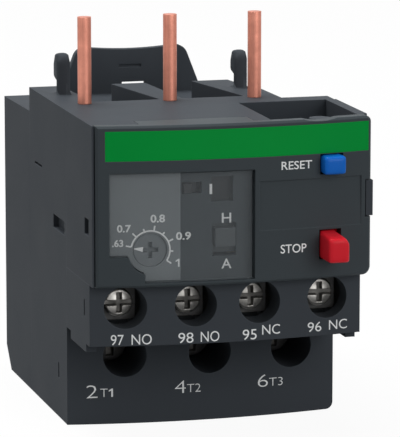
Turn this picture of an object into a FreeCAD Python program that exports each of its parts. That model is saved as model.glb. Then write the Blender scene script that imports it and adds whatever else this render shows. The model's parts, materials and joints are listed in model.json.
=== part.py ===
"""Thermal overload relay: swollen fascia, control and power terminals, bimetal chambers and line pins.

Millimetres. X runs to the right of the fascia, Y from the fascia to the rear cover, Z up.
The origin is the middle of the envelope, at the level of the lower edge.
"""
import FreeCAD, Part
import math
import os

V = FreeCAD.Vector

# ---- Envelope ------------------------------------------------------------------------------
HALF_WIDTH = 22.5          # left wall, and the side latch on the right
LATCH_PROUD = 0.3          # side latch beyond the fascia's right edge
DEPTH = 70.0               # stop button's face to the rear cover
STOP_REACH = 6.3           # stop button's face ahead of the fascia's corners
DECK_Z = 50.9              # top deck
PIN_REACH = 13.9           # line pins above the deck
FRONT_BOW = 2.2            # rise of the swollen fronts in plan
PLACES_HALF = 22.5         # half width for which the places across the relay are given
SPREAD = HALF_WIDTH / PLACES_HALF


def across(*places):
    """Places across the relay, which keep their share of its width."""
    return tuple(place * SPREAD for place in places)



LEFT_X = -HALF_WIDTH
RIGHT_X = HALF_WIDTH - LATCH_PROUD
FRONT_Y = STOP_REACH - DEPTH / 2
REAR_Y = DEPTH / 2

# ---- Walls and clearances ------------------------------------------------------------------
WALL = 1.5                 # housing walls
CASE_WALL = 1.3            # walls of the mechanism case and control block
WEB = 1.2                  # partitions between the poles
SEAM = 0.1                 # joint line between two mouldings
SLOT_GAP = 0.15            # button or cover to the edge of its opening
RUN_GAP = 0.3              # moving piece to what it passes
SHAFT_GAP = 0.05           # radial play of shafts, screws and stems
HOLE_SIDES = 12            # of the holes that screws pass through
TOUCH_GAP = 0.1            # closed electrical contacts, and parts that only lean on each other

# ---- Main mouldings ------------------------------------------------------------------------
MECH_DEPTH = 18.2          # fascia's corners to the chamber housing
HOUSING_DEPTH = 26.1       # chamber housing, front wall to rear cover
HOUSING_INSET = 0.4        # chamber housing's right wall inside the fascia's edge
LEDGE_Z = 16.0             # control block's lip and top of the power front
REAR_TOP_Z = 47.0          # rear cover's top at the step
REAR_FALL = 0.3            # fall of the rear cover's top towards the back
SLANT_Z = 3.8              # rear cover's slanted foot
SLANT_Y = 2.9
FOOT_BEVEL = 0.8           # small bevel under the slant
FOOT_ROUND = 1.2           # rounded right lower edge

WALL_Y = FRONT_Y + MECH_DEPTH
STEP_Y = WALL_Y + HOUSING_DEPTH
HOUSING_RIGHT = RIGHT_X - HOUSING_INSET

# ---- Fascia --------------------------------------------------------------------------------
FASCIA_Z = 25.7            # lower edge of the fascia
FASCIA_T = 2.0
FASCIA_INSET = 0.45        # fascia's left edge inside the side wall
LIP_T = 0.3                # lip of the side wall beside the fascia
LIP_SETBACK = 0.6
TOP_ROUND = 1.0            # upper right corner
LOW_ROUND = 1.3            # lower right corner
RIM_BEVEL = 0.35           # front rim
TONGUE_X = across(-15.0, 3.0)    # tongue over the deck
TONGUE_Y = 4.0
TONGUE_T = 0.8
DIP_X = 13.6 * SPREAD               # finger dip in the top edge
DIP_HALF = 2.8
DIP_SAG = 0.35
WINDOW_X = across(-20.05, 2.75)
WINDOW_Z = (26.35, 43.55)
PAN_DEPTH = 1.9            # floor of the window pan behind the front
PAN_T = 1.0
PAN_RIM = 0.85
NOTCH_TOP = 30.4           # finger notch in the window's lower left
NOTCH_X = -14.6 * SPREAD
NOTCH_RADIUS = 3.75
BAND_X = across(-20.65, 21.7)
BAND_Z = (45.45, 50.1)
BAND_T = 0.3
RECESS_X = across(3.5, 20.5)     # finger recess right of the window
RECESS_Z = (33.9, 41.6)
RECESS_DEPTH = 0.3         # at its top edge
RECESS_FOOT = 0.06         # at its lower edge
LATCH_REACH = 1.15         # side latch, from its inner edge to the overall width
LATCH_X = HALF_WIDTH - LATCH_REACH
LATCH_Z = (35.1, 40.7)
LATCH_GAP = 0.18

FASCIA_LEFT = LEFT_X + FASCIA_INSET
FASCIA_BACK = FRONT_Y + FASCIA_T

# ---- Cover, scale plate and dial -----------------------------------------------------------
COVER_T = 1.0
HINGE_X = 1.9 * SPREAD
HINGE_DEPTH = 0.7
HINGE_RADIUS = 0.55
HINGE_PIN_RADIUS = 0.3
HINGE_PIN_LENGTH = 0.4
HINGE_BEVEL = 0.35
PLATE_T = 0.4              # scale plate on the pan floor
PLATE_RIGHT = -8.75 * SPREAD
DIAL_X = -13.45 * SPREAD
DIAL_Z = 31.3
DIAL_RADIUS = 2.6
DIAL_SINK = 1.6            # dial's face behind the front at its axis
DIAL_FLANGE = 3.6
DIAL_FLANGE_T = 1.0
CROSS_LENGTH = 2.6
CROSS_WIDTH = 0.7
CROSS_DEPTH = 0.9
CAM_RADIUS = 3.0
CAM_THROW = 0.9
SPINDLE_RADIUS = 1.0

# ---- Selector, test slide and flag ---------------------------------------------------------
SELECTOR_SLOT_X = across(-3.6, 0.2)
SELECTOR_SLOT_Z = (29.9, 35.1)
SELECTOR_KNOB_Z = (31.5, 34.4)
SELECTOR_SINK = 1.2        # knob's face behind the front
SLIDE_T = 1.2              # slides behind the pan floor
SLIDE_MARGIN = 0.4         # slide past its slot
TEST_SLOT_X = across(-8.4, -5.3)
TEST_SLOT_Z = (39.9, 41.7)
TEST_KNOB_LENGTH = 1.3
FLAG_WINDOW_X = across(-3.8, -0.3)
FLAG_WINDOW_Z = (38.5, 42.4)

# ---- Buttons -------------------------------------------------------------------------------
RESET_X = across(13.6, 17.2)
RESET_Z = (42.3, 45.2)
RESET_PROUD = 2.2
STOP_X = across(13.5, 16.9)
STOP_Z = (28.9, 33.3)
STOP_SLOPE = 0.5           # fall of the stop button's top towards its face
STOP_CUT = 1.0             # bevel on its upper right corner
BUTTON_ROUND = 0.45
FLANGE_T = 1.0
FLANGE_RIM = 0.7
STEM_RADIUS = 1.1
STEM_END = 13.0            # depth of the stems' ends
SLEEVE_DEPTH = 10.0        # depth of the sleeves' mouths
SLEEVE_WALL = 0.85
SPRING_WIRE = 0.35
SPRING_TURNS = 3
SPRING_CHORDS = 8          # straight chords per turn

# ---- Control terminals ---------------------------------------------------------------------
BLOCK_SETBACK = 2.65
BLOCK_INSET = 0.9          # right edge inside the fascia's
TEETH_Z = 14.7
TEETH_DEPTH = (5.0, 15.4)  # teeth between the cable entries, front and back
TEETH_T = 1.6
CONTROL_X = across(-17.0, -6.0, 4.3, 15.6)
CONTROL_NAMES = ("97", "98", "95", "96")
TONGUE_OF_CONTROL_X = across(-16.6, -6.0, 4.3, 11.4)
CONTROL_Z = 22.1
CONTROL_WELL_RADIUS = 3.35
CONTROL_HEAD_RADIUS = 2.25
CONTROL_HEAD_DEPTH = 5.6   # screw head's face behind the fascia's corners
CONTROL_HEAD_T = 1.8
CONTROL_SHANK_RADIUS = 1.5
CONTROL_SHANK = 3.8
CONTROL_CLAMP_HALF = 3.0
RECESS_WIDTH = 0.14        # of a screw head's radius
JAW_LIP = 0.6              # of a clamp's thickness
CONTROL_CLAMP_T = 1.0
CONTROL_PLATE_DEPTH = 10.7
TONGUE_DEPTH = 15.9        # tongues that rise to the contacts
CONTROL_PLATE_T = 0.7
CONTROL_ROOM_HALF = 3.7
CONTROL_ROOM_Z = (18.6, 25.2)
CONTROL_ENTRY_HALF = 2.7
CONTROL_ENTRY_DEPTH = (6.6, 11.0)

# ---- Power terminals -----------------------------------------------------------------------
POLES = 3
TERMINAL_X = -13.35 * SPREAD        # first power screw
TERMINAL_PITCH = 13.85 * SPREAD
TERMINAL_Z = 11.1
POWER_WELL_RADIUS = 3.5
POWER_HEAD_RADIUS = 3.15
POWER_HEAD_DEPTH = 27.0
POWER_HEAD_T = 2.2
POWER_SHANK_RADIUS = 2.0
POWER_SHANK = 12.8
POWER_CLAMP_HALF = 3.9
POWER_CLAMP_T = 1.4
POWER_PLATE_DEPTH = 38.0
POWER_PLATE_T = 1.2
POWER_ROOM_HALF = 4.5
POWER_ROOM_Z = (4.5, 15.2)
POWER_ROOM_DEPTH = 28.8
POWER_ENTRY_HALF = 3.7
POWER_ENTRY_DEPTH = (31.2, 37.4)

# ---- Deck ----------------------------------------------------------------------------------
CHANNEL_Z = 47.5           # floors of the channels between the ribs
CHANNEL_DEPTH = 25.4       # channels' front ends behind the fascia's corners
RIB_WALL_BACK = 22.0       # raised wall behind the pocket, its rear face
LEFT_RIB_X = across(-16.2, -17.2)        # right flank of the left rib, front and rear
MIDDLE_RIB_X = (across(-5.2, -1.5), across(-8.6, -2.9))
RIGHT_RIB_X = (across(8.8, 13.8), across(5.1, 11.3))
TAB_LEFT_X = across(-20.0, -17.8)
TAB_RIGHT_X = across(9.8, 12.0)
TAB_DEPTH = 34.2
TAB_T = 1.7
TAB_HEAD = 2.0             # how far a tab's head hangs over to the rear
TAB_HEAD_Z = 1.9
TAB_HEIGHT = 6.6
TAB_LOWER = 0.5            # right tab lower than the left one
POCKET_X = across(5.8, 20.4)
POCKET_Z = 46.5
POCKET_FLOOR = 0.9
BOSS_X = 14.9 * SPREAD
BOSS_DEPTH = 3.6
BOSS_RADIUS = 1.7
BOSS_Z = 50.3

# ---- Line pins and poles -------------------------------------------------------------------
PIN_X = -18.0 * SPREAD              # first line pin
PIN_PITCH = 14.05 * SPREAD
PIN_DEPTH = 24.0
PIN_RADIUS = 1.1
NECK_WIDTH = 1.5           # square neck of a pin below the deck
PIN_FOOT_Z = 36.0
TAIL_T = 1.0
TAIL_WIDTH = 2.0
TAIL_CROSS_DEPTH = 38.5    # where the tail crosses over to its pole
CHAMBER_Z = (16.8, 46.0)
PARTITION_X = across(-8.0, 6.0)
STRIP_DEPTH = 48.0         # middle of the bimetal strips
STRIP_WIDTH = 5.0
STRIP_T = 0.9
STRIP_Z = (16.2, 42.9)
COIL_WIRE = 0.6
COIL_GAP = 0.3
COIL_TURNS = 7
COIL_Z = (20.0, 36.5)
CLIP_T = 0.8
CLIP_HEIGHT = 3.0
RISER_T = 1.2

# ---- Trip bars -----------------------------------------------------------------------------
BAR_X = across(-19.9, 19.3)
BAR_T = 0.9
BAR_Z = (40.5, 41.9)       # undersides of the differential bar and the drive bar
BAR_MARGIN = 1.1           # bar past the strips' edges
BAR_TRAVEL = 1.0
STEM_X = across(-12.95, -11.15)  # drive bar's stem towards the mechanism
STEM_Z = (43.3, 45.1)
STEM_FRONT = 8.8

# ---- Trip lever and contact carrier --------------------------------------------------------
LEVER_X = -10.0 * SPREAD            # pivot
LEVER_Z = 39.5
LEVER_DEPTH = (8.6, 10.6)
LEVER_ARM = 0.8            # half width of the arms
LEVER_UNDER = 0.6          # long arm below and above the pivot
LEVER_TIP_OVER = 0.4
LEVER_ROOT_OVER = 1.2
LEVER_HIGH = 5.7
LEVER_REACH = 7.6 * SPREAD
LEVER_TOE = 3.3
LEVER_HUB = 1.7
PIVOT_RADIUS = 0.8
CARRIER_X = across(-13.0, 9.4)
CARRIER_Z = (36.2, 38.0)
CARRIER_DEPTH = (12.6, 15.2)
CARRIER_TRAVEL = 1.4
POST_HALF = 0.85
NO_POST_X = -11.4 * SPREAD
NC_POST_X = 7.85 * SPREAD
NO_CONTACT_Z = 32.4        # top of the fixed make contacts
NC_CONTACT_Z = 31.9        # underside of the fixed break contacts
TIP_HALF = 0.7             # half width of the square contact tips
TIP_T = 0.6
LEAF_T = 0.6
LEAF_HALF = 1.0
CONTACT_DEPTH = 14.0
BRIDGE_T = 0.4
BRIDGE_HALF = 0.8
BRIDGE_OVER = 1.0          # bridge past its tips
FINGER_X = across(-4.4, 1.2)     # guide fingers of the carrier
FINGER_WIDTH = 1.4
FINGER_Z = (33.0, 41.0)
FINGER_BACK = 16.5
GUIDE_RIB = 0.75
ARM_X = across(-4.2, -1.2)       # arm from the carrier to the flag
ARM_Z = (37.3, 38.7)
FLAG_T = 0.8
FLAG_TOP = 44.3
CARRIER_SPRING_X = -1.0 * SPREAD
CARRIER_SPRING_RADIUS = 1.4

# ---- Rear hook -----------------------------------------------------------------------------
HOOK_X = -0.95 * SPREAD             # middle of the hook
HOOK_HALF_BASE = 12.6 * SPREAD
HOOK_HALF_TOP = 9.3 * SPREAD
HOOK_INSET = 0.9           # hook's rear ahead of the rear face
HOOK_T = 1.6
HOOK_Z = 54.8
HOOK_SAG = 0.5
HOOK_CORNER = 2.2
HOOK_SLOT_X = across(-2.6, 1.6)
HOOK_SLOT_Z = 48.7
HOOK_LEDGE_X = across(-3.1, 0.8)
HOOK_LEDGE_Z = 51.7

# ---- Snap slots in the left wall: depth range and height range -----------------------------
SIDE_SLOT_DEEP = 0.9
HOUSING_SLOTS = (((19.3, 27.2), (30.6, 32.8)), ((35.3, 40.4), (38.9, 39.3)), ((23.8, 24.4), (6.5, 9.0)))
CASE_SLOT = ((2.9, 5.6), (33.4, 36.0))
BLOCK_SLOT = ((5.8, 6.4), (20.3, 22.9))


# ---- Basic shapes --------------------------------------------------------------------------
def at(depth):
    """Y of a plane that lies depth behind the fascia's corners."""
    return FRONT_Y + depth


def block(x0, x1, y0, y1, z0, z1):
    """Box between three pairs of limits."""
    return Part.makeBox(x1 - x0, y1 - y0, z1 - z0, V(x0, y0, z0))


def rod_y(radius, x, z, y0, y1):
    """Cylinder along Y."""
    return Part.makeCylinder(radius, y1 - y0, V(x, y0, z), V(0, 1, 0))


def rod_z(radius, x, y, z0, z1):
    """Cylinder along Z."""
    return Part.makeCylinder(radius, z1 - z0, V(x, y, z0))


def flats_hole(radius, x, z, y0, y1):
    """Many-sided hole along Y whose flats keep a radius."""
    reach = radius / math.cos(math.pi / HOLE_SIDES)
    turns = [2 * math.pi * (i + 0.5) / HOLE_SIDES for i in range(HOLE_SIDES)]
    return prism([V(x + reach * math.cos(t), y0, z + reach * math.sin(t)) for t in turns],
                 V(0, y1 - y0, 0))


def prism(points, along):
    """Straight prism on a closed polygon."""
    return Part.Face(Part.makePolygon(points + points[:1])).extrude(along)


def joined(first, *others):
    """One clean solid from touching ones."""
    return first.fuse(list(others)).removeSplitter()


def trimmed(body, *tools):
    """Body without its tools."""
    return body.cut(list(tools)).removeSplitter()


def swell(x):
    """How far a swollen front stands ahead of its corners at x."""
    half = (RIGHT_X - LEFT_X) / 2
    radius = (half ** 2 + FRONT_BOW ** 2) / (2 * FRONT_BOW)
    offset = x - (RIGHT_X + LEFT_X) / 2
    return FRONT_BOW - radius + math.sqrt(radius ** 2 - offset ** 2)


def front_at(x, sink=0.0):
    """Y of the fascia's front at x, or of a surface that lies sink behind it."""
    return FRONT_Y - swell(x) + sink


def front_arc(x0, x1, y, z):
    """Plan curve of a swollen front between two places."""
    places = (x0, (x0 + x1) / 2, x1)
    return Part.Arc(*[V(x, y - swell(x), z) for x in places]).toShape()


def swollen_plate(x0, x1, z0, z1, front, back):
    """Plate behind the fascia's front, curved on both faces, from one depth to another."""
    near = front_arc(x0, x1, FRONT_Y + front, z0)
    far = front_arc(x1, x0, FRONT_Y + back, z0)
    sides = [Part.makeLine(near.lastVertex(True).Point, far.firstVertex(True).Point),
             Part.makeLine(far.lastVertex(True).Point, near.firstVertex(True).Point)]
    outline = Part.Wire([near, sides[0], far, sides[1]])
    return Part.Face(outline).extrude(V(0, 0, z1 - z0))


def swollen_block(x0, x1, corner_y, back_y, z0, z1):
    """Block with a swollen front and a flat back."""
    near = front_arc(x0, x1, corner_y, z0)
    back = Part.makePolygon([near.lastVertex(True).Point, V(x1, back_y, z0), V(x0, back_y, z0),
                             near.firstVertex(True).Point])
    return Part.Face(Part.Wire([near] + back.Edges)).extrude(V(0, 0, z1 - z0))


def edges_where(shape, wanted):
    """Edges whose ends all pass the test."""
    return [edge for edge in shape.Edges if all(wanted(v.Point) for v in edge.Vertexes)]


def rounded(shape, radius, wanted):
    """Shape with a fillet on the edges that pass the test."""
    return shape.makeFillet(radius, edges_where(shape, wanted))


def bevelled(shape, size, wanted):
    """Shape with a chamfer on the edges that pass the test."""
    return shape.makeChamfer(size, edges_where(shape, wanted))


def wire_through(points, size):
    """Square wire led through points, the first two of which lie along Y."""
    reach = size / 2
    corners = [points[0] + V(x, 0, z) for x, z in ((-reach, -reach), (reach, -reach), (reach, reach),
                                                   (-reach, reach))]
    profile = Part.makePolygon(corners + corners[:1])
    return Part.makePolygon(points).makePipeShell([profile], True, True, 1)


def coil_spring(radius, wire, turns, length):
    """Compression spring along +Z from the origin, its turns led through short chords."""
    chord = 2 * math.pi / SPRING_CHORDS
    rise = (length - wire) / (turns * SPRING_CHORDS)
    points = [V(radius * math.cos(i * chord), radius * math.sin(i * chord), wire / 2 + i * rise)
              for i in range(turns * SPRING_CHORDS + 1)]
    return wire_through(points, wire)


def facing_rear(shape, x, y, z):
    """Shape built along +Z, laid along +Y and moved."""
    laid = shape.rotated(V(0, 0, 0), V(1, 0, 0), -90)
    return laid.translated(V(x, y, z))


# ---- Fascia and what it carries ------------------------------------------------------------
def notch(grow=0.0):
    """Corner of the fascia that stays in the window's lower left, around the dial."""
    corner = block(WINDOW_X[0] - WALL, NOTCH_X + grow, FRONT_Y - 2 * FRONT_BOW, FRONT_Y + 2 * FASCIA_T,
                   WINDOW_Z[0] - WALL, NOTCH_TOP + grow)
    return corner.cut(rod_y(NOTCH_RADIUS - grow, DIAL_X, DIAL_Z, FRONT_Y - 3 * FRONT_BOW,
                            FRONT_Y + 3 * FASCIA_T))


def window(front, back, gap=0.0):
    """Plate with the window's outline, inset by a gap."""
    plate = swollen_plate(WINDOW_X[0] + gap, WINDOW_X[1] - gap, WINDOW_Z[0] + gap, WINDOW_Z[1] - gap,
                          front, back)
    return plate.cut(notch(gap))


def slot(x_range, z_range, grow=0.0):
    """Straight opening through the fascia."""
    return block(x_range[0] - grow, x_range[1] + grow, FRONT_Y - 3 * FRONT_BOW, FRONT_Y + 3 * FASCIA_T,
                 z_range[0] - grow, z_range[1] + grow)


def fascia_plate():
    """Swollen plate with rounded corners and rim, and a shallow dip in its top edge."""
    plate = swollen_plate(FASCIA_LEFT, RIGHT_X, FASCIA_Z, DECK_Z, 0, FASCIA_T)
    plate = rounded(plate, TOP_ROUND, lambda p: p.x > RIGHT_X - SEAM and p.z > DECK_Z - SEAM)
    plate = rounded(plate, LOW_ROUND, lambda p: p.x > RIGHT_X - SEAM and p.z < FASCIA_Z + SEAM)
    plate = bevelled(plate, RIM_BEVEL, lambda p: p.y < FRONT_Y + FASCIA_T / 2)
    dip_radius = (DIP_HALF ** 2 + DIP_SAG ** 2) / (2 * DIP_SAG)
    dip = rod_y(dip_radius, DIP_X, DECK_Z + dip_radius - DIP_SAG, FRONT_Y - 2 * FRONT_BOW, WALL_Y)
    return plate.cut(dip)


def recess_wedge():
    """Finger recess: deepest at its top, running out at its foot."""
    floor = swollen_plate(RECESS_X[0], RECESS_X[1], RECESS_Z[0], RECESS_Z[1], -1, RECESS_FOOT)
    tilt = math.degrees(math.atan((RECESS_DEPTH - RECESS_FOOT) / (RECESS_Z[1] - RECESS_Z[0])))
    return floor.rotated(V(0, front_at(middle(RECESS_X)), RECESS_Z[0]), V(1, 0, 0), -tilt)


def slide_rails():
    """Rails on the pan's rear that guide the selector."""
    inner = (SELECTOR_SLOT_X[0] - SLIDE_MARGIN - SLOT_GAP, SELECTOR_SLOT_X[1] + SLIDE_MARGIN + SLOT_GAP)
    low = SELECTOR_SLOT_Z[0] - SLIDE_MARGIN
    high = SELECTOR_SLOT_Z[1] + SLIDE_MARGIN
    front = front_at(inner[0], PAN_DEPTH)
    back = front_at(HINGE_X, PAN_DEPTH + PAN_T) + SLIDE_T + 2 * RUN_GAP
    return [block(inner[0] - PLATE_T, inner[0], front, back, low, high),
            block(inner[1], inner[1] + PLATE_T, front, back, low, high)]


def fascia():
    """Front cover moulding with its window pan, button openings and top tongue."""
    pan = swollen_plate(WINDOW_X[0] - PAN_RIM, WINDOW_X[1] + PAN_RIM, FASCIA_Z + SEAM,
                        WINDOW_Z[1] + PAN_RIM, FASCIA_T - SEAM, PAN_DEPTH + PAN_T)
    tongue = block(TONGUE_X[0], TONGUE_X[1], FASCIA_BACK - FRONT_BOW, at(TONGUE_Y),
                   DECK_Z - TONGUE_T, DECK_Z)
    body = joined(fascia_plate(), pan, tongue, *slide_rails())
    latch = block(LATCH_X - LATCH_GAP, RIGHT_X + WALL, FRONT_Y - FRONT_BOW, at(2 * FASCIA_T),
                  LATCH_Z[0] - LATCH_GAP, LATCH_Z[1] + LATCH_GAP)
    hinge_z = (WINDOW_Z[0] - WALL, WINDOW_Z[1] + HINGE_PIN_LENGTH + SEAM)
    hinge = rod_z(HINGE_PIN_RADIUS + SHAFT_GAP, HINGE_X, front_at(HINGE_X, HINGE_DEPTH), *hinge_z)
    dial = rod_y(DIAL_RADIUS + SHAFT_GAP, DIAL_X, DIAL_Z, FRONT_Y - FRONT_BOW, at(2 * FASCIA_T))
    return trimmed(body, window(-1, PAN_DEPTH), hinge, dial, latch, recess_wedge(),
                   swollen_plate(BAND_X[0], BAND_X[1], BAND_Z[0], BAND_Z[1], -1, BAND_T),
                   slot(SELECTOR_SLOT_X, SELECTOR_SLOT_Z), slot(TEST_SLOT_X, TEST_SLOT_Z),
                   slot(FLAG_WINDOW_X, FLAG_WINDOW_Z), slot(RESET_X, RESET_Z, SLOT_GAP),
                   slot(STOP_X, STOP_Z, SLOT_GAP))


def colour_band():
    """Inlaid band across the top of the fascia."""
    return swollen_plate(BAND_X[0], BAND_X[1], BAND_Z[0], BAND_Z[1], 0, BAND_T)


def scale_plate():
    """Plate on the pan floor around the dial."""
    plate = window(PAN_DEPTH - PLATE_T, PAN_DEPTH, SLOT_GAP)
    rest = block(PLATE_RIGHT, WINDOW_X[1] + WALL, FRONT_Y - 2 * FRONT_BOW, at(2 * FASCIA_T), 0, DECK_Z)
    return trimmed(plate, rest, rod_y(DIAL_RADIUS + SHAFT_GAP, DIAL_X, DIAL_Z, FRONT_Y - FRONT_BOW,
                                      at(2 * FASCIA_T)))


def window_cover():
    """Transparent cover with a round hinge edge and a pin at each end of it."""
    axis_y = front_at(HINGE_X, HINGE_DEPTH)
    low = WINDOW_Z[0] + SLOT_GAP
    high = WINDOW_Z[1] - SLOT_GAP
    plate = window(0, COVER_T, SLOT_GAP)
    edge = block(HINGE_X, WINDOW_X[1] + WALL, FRONT_Y - 2 * FRONT_BOW, at(FASCIA_T), 0, DECK_Z)
    face_y = front_at(HINGE_X)
    bevel = prism([V(HINGE_X - HINGE_BEVEL, face_y - SEAM, low - 1), V(HINGE_X + WALL, face_y - SEAM, low - 1),
                   V(HINGE_X + WALL, face_y + HINGE_BEVEL + WALL, low - 1)], V(0, 0, high - low + 2))
    barrel = rod_z(HINGE_RADIUS, HINGE_X, axis_y, low, high)
    pin = rod_z(HINGE_PIN_RADIUS, HINGE_X, axis_y, low - HINGE_PIN_LENGTH - SLOT_GAP,
                high + HINGE_PIN_LENGTH + SLOT_GAP)
    return joined(trimmed(plate, edge, bevel), barrel, pin)


def adjustment_dial():
    """Dial with a cross recess, a flange behind the pan, an eccentric cam and a spindle."""
    face = front_at(DIAL_X, DIAL_SINK)
    pan_back = front_at(DIAL_X + DIAL_FLANGE, PAN_DEPTH + PAN_T)
    flange_y = max(pan_back, front_at(DIAL_X - DIAL_FLANGE, PAN_DEPTH + PAN_T)) + TOUCH_GAP
    flange_back = flange_y + DIAL_FLANGE_T
    cam_back = at(LEVER_DEPTH[1])
    disc = rod_y(DIAL_RADIUS, DIAL_X, DIAL_Z, face, flange_y)
    flange = rod_y(DIAL_FLANGE, DIAL_X, DIAL_Z, flange_y, flange_back)
    cam = rod_y(CAM_RADIUS, DIAL_X - CAM_THROW, DIAL_Z, flange_back, cam_back)
    spindle = rod_y(SPINDLE_RADIUS, DIAL_X, DIAL_Z, cam_back, WALL_Y - SEAM)
    half = CROSS_LENGTH / 2
    wide = CROSS_WIDTH / 2
    cross = [block(DIAL_X - half, DIAL_X + half, face - 1, face + CROSS_DEPTH, DIAL_Z - wide, DIAL_Z + wide),
             block(DIAL_X - wide, DIAL_X + wide, face - 1, face + CROSS_DEPTH, DIAL_Z - half, DIAL_Z + half)]
    return trimmed(joined(disc, flange, cam, spindle), *cross)


def mode_selector():
    """Sliding selector: a knob in the slot on a plate behind the pan."""
    plate_y = max(front_at(x, PAN_DEPTH + PAN_T) for x in SELECTOR_SLOT_X) + RUN_GAP
    x0 = SELECTOR_SLOT_X[0]
    x1 = SELECTOR_SLOT_X[1]
    plate = block(x0 - SLIDE_MARGIN, x1 + SLIDE_MARGIN, plate_y, plate_y + SLIDE_T,
                  SELECTOR_SLOT_Z[0] + SLIDE_MARGIN, SELECTOR_SLOT_Z[1] + SLIDE_MARGIN)
    knob = block(x0 + RUN_GAP, x1 - RUN_GAP, front_at(0, SELECTOR_SINK), plate_y,
                 SELECTOR_KNOB_Z[0], SELECTOR_KNOB_Z[1])
    return joined(plate, knob)


def test_slider():
    """Test slide: a small knob in its slot on a plate behind the pan."""
    x0 = TEST_SLOT_X[0]
    x1 = TEST_SLOT_X[1]
    plate_y = front_at(x0, PAN_DEPTH + PAN_T) + RUN_GAP
    plate = block(x0 - 2 * SLIDE_MARGIN, x1 - SLIDE_MARGIN, plate_y, plate_y + SLIDE_T,
                  TEST_SLOT_Z[0] - SLIDE_MARGIN, TEST_SLOT_Z[1] + SLIDE_MARGIN)
    knob = block(x0 + SLOT_GAP, x0 + SLOT_GAP + TEST_KNOB_LENGTH, front_at(x0, SELECTOR_SINK), plate_y,
                 TEST_SLOT_Z[0] + SLOT_GAP, TEST_SLOT_Z[1] - SLOT_GAP)
    return joined(plate, knob)


# ---- Buttons -------------------------------------------------------------------------------
def middle(limits):
    """Middle of a pair of limits."""
    return (limits[0] + limits[1]) / 2


def flange_front(x_range):
    """Y of a button's flange, which rests behind the fascia."""
    return front_at(x_range[1] + FLANGE_RIM, FASCIA_T) + TOUCH_GAP


def button_stem(x_range, z_range):
    """Flange behind the fascia and a round stem that ends in its sleeve."""
    front = flange_front(x_range)
    x = middle(x_range)
    z = middle(z_range)
    flange = block(x_range[0] - FLANGE_RIM, x_range[1] + FLANGE_RIM, front, front + FLANGE_T,
                   z_range[0] - FLANGE_RIM, z_range[1] + TOUCH_GAP)
    return [flange, rod_y(STEM_RADIUS, x, z, front + FLANGE_T, at(STEM_END))]


def reset_button():
    """Square reset button with a rounded face."""
    face = front_at(middle(RESET_X)) - RESET_PROUD
    cap = block(RESET_X[0], RESET_X[1], face, flange_front(RESET_X), RESET_Z[0], RESET_Z[1])
    cap = rounded(cap, BUTTON_ROUND, lambda p: p.y < face + SEAM)
    return joined(cap, *button_stem(RESET_X, RESET_Z))


def stop_button():
    """Long stop button: its top falls to the face, its upper right corner is bevelled."""
    face = FRONT_Y - STOP_REACH
    back = flange_front(STOP_X)
    low = STOP_Z[0]
    high = STOP_Z[1]
    side = [V(STOP_X[0], face, low), V(STOP_X[0], face, high - STOP_SLOPE), V(STOP_X[0], at(0), high),
            V(STOP_X[0], back, high), V(STOP_X[0], back, low)]
    cap = prism(side, V(STOP_X[1] - STOP_X[0], 0, 0))
    right = STOP_X[1]
    corner = prism([V(right - STOP_CUT, face - 1, high + SEAM), V(right + SEAM, face - 1, high + SEAM),
                    V(right + SEAM, face - 1, high - STOP_CUT - STOP_SLOPE)], V(0, back - face + 1, 0))
    cap = rounded(cap.cut(corner), BUTTON_ROUND, lambda p: p.y < face + SEAM)
    return joined(cap, *button_stem(STOP_X, STOP_Z))


def button_spring(x_range, z_range):
    """Return spring between a button's flange and its sleeve."""
    start = flange_front(x_range) + FLANGE_T + SHAFT_GAP
    length = at(SLEEVE_DEPTH) - SHAFT_GAP - start
    radius = STEM_RADIUS + SHAFT_GAP + SPRING_WIRE
    spring = coil_spring(radius, SPRING_WIRE, SPRING_TURNS, length)
    return facing_rear(spring, middle(x_range), start, middle(z_range))


# ---- Mechanism case ------------------------------------------------------------------------
def sleeve(x_range, z_range):
    """Square sleeve on the rear wall for a button's stem."""
    outer = STEM_RADIUS + SHAFT_GAP + SLEEVE_WALL
    x = middle(x_range)
    z = middle(z_range)
    return block(x - outer, x + outer, at(SLEEVE_DEPTH), WALL_Y - CASE_WALL, z - outer, z + outer)


def sleeve_bore(x_range, z_range):
    """Bore of a stem's sleeve, ending before the rear wall's back."""
    return rod_y(STEM_RADIUS + SHAFT_GAP, middle(x_range), middle(z_range), at(SLEEVE_DEPTH) - 1,
                 WALL_Y - CASE_WALL / 2)


def case_shell():
    """Box behind the fascia: swollen in front, closed at the back, with the deck's pocket."""
    mouth = FASCIA_BACK + SEAM
    outer = swollen_block(LEFT_X, RIGHT_X - SEAM, mouth, WALL_Y, FASCIA_Z, DECK_Z)
    lip = block(LEFT_X, LEFT_X + LIP_T, at(LIP_SETBACK), mouth + WALL, FASCIA_Z, DECK_Z)
    inner = swollen_block(LEFT_X + CASE_WALL, RIGHT_X - CASE_WALL, mouth - WALL, WALL_Y - CASE_WALL,
                          FASCIA_Z + WALL, DECK_Z - WALL)
    tub = swollen_block(POCKET_X[0] - CASE_WALL, RIGHT_X - SEAM - LIP_T, mouth, WALL_Y,
                        POCKET_Z - POCKET_FLOOR, DECK_Z - SEAM)
    return joined(trimmed(outer, inner), lip, tub)


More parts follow.
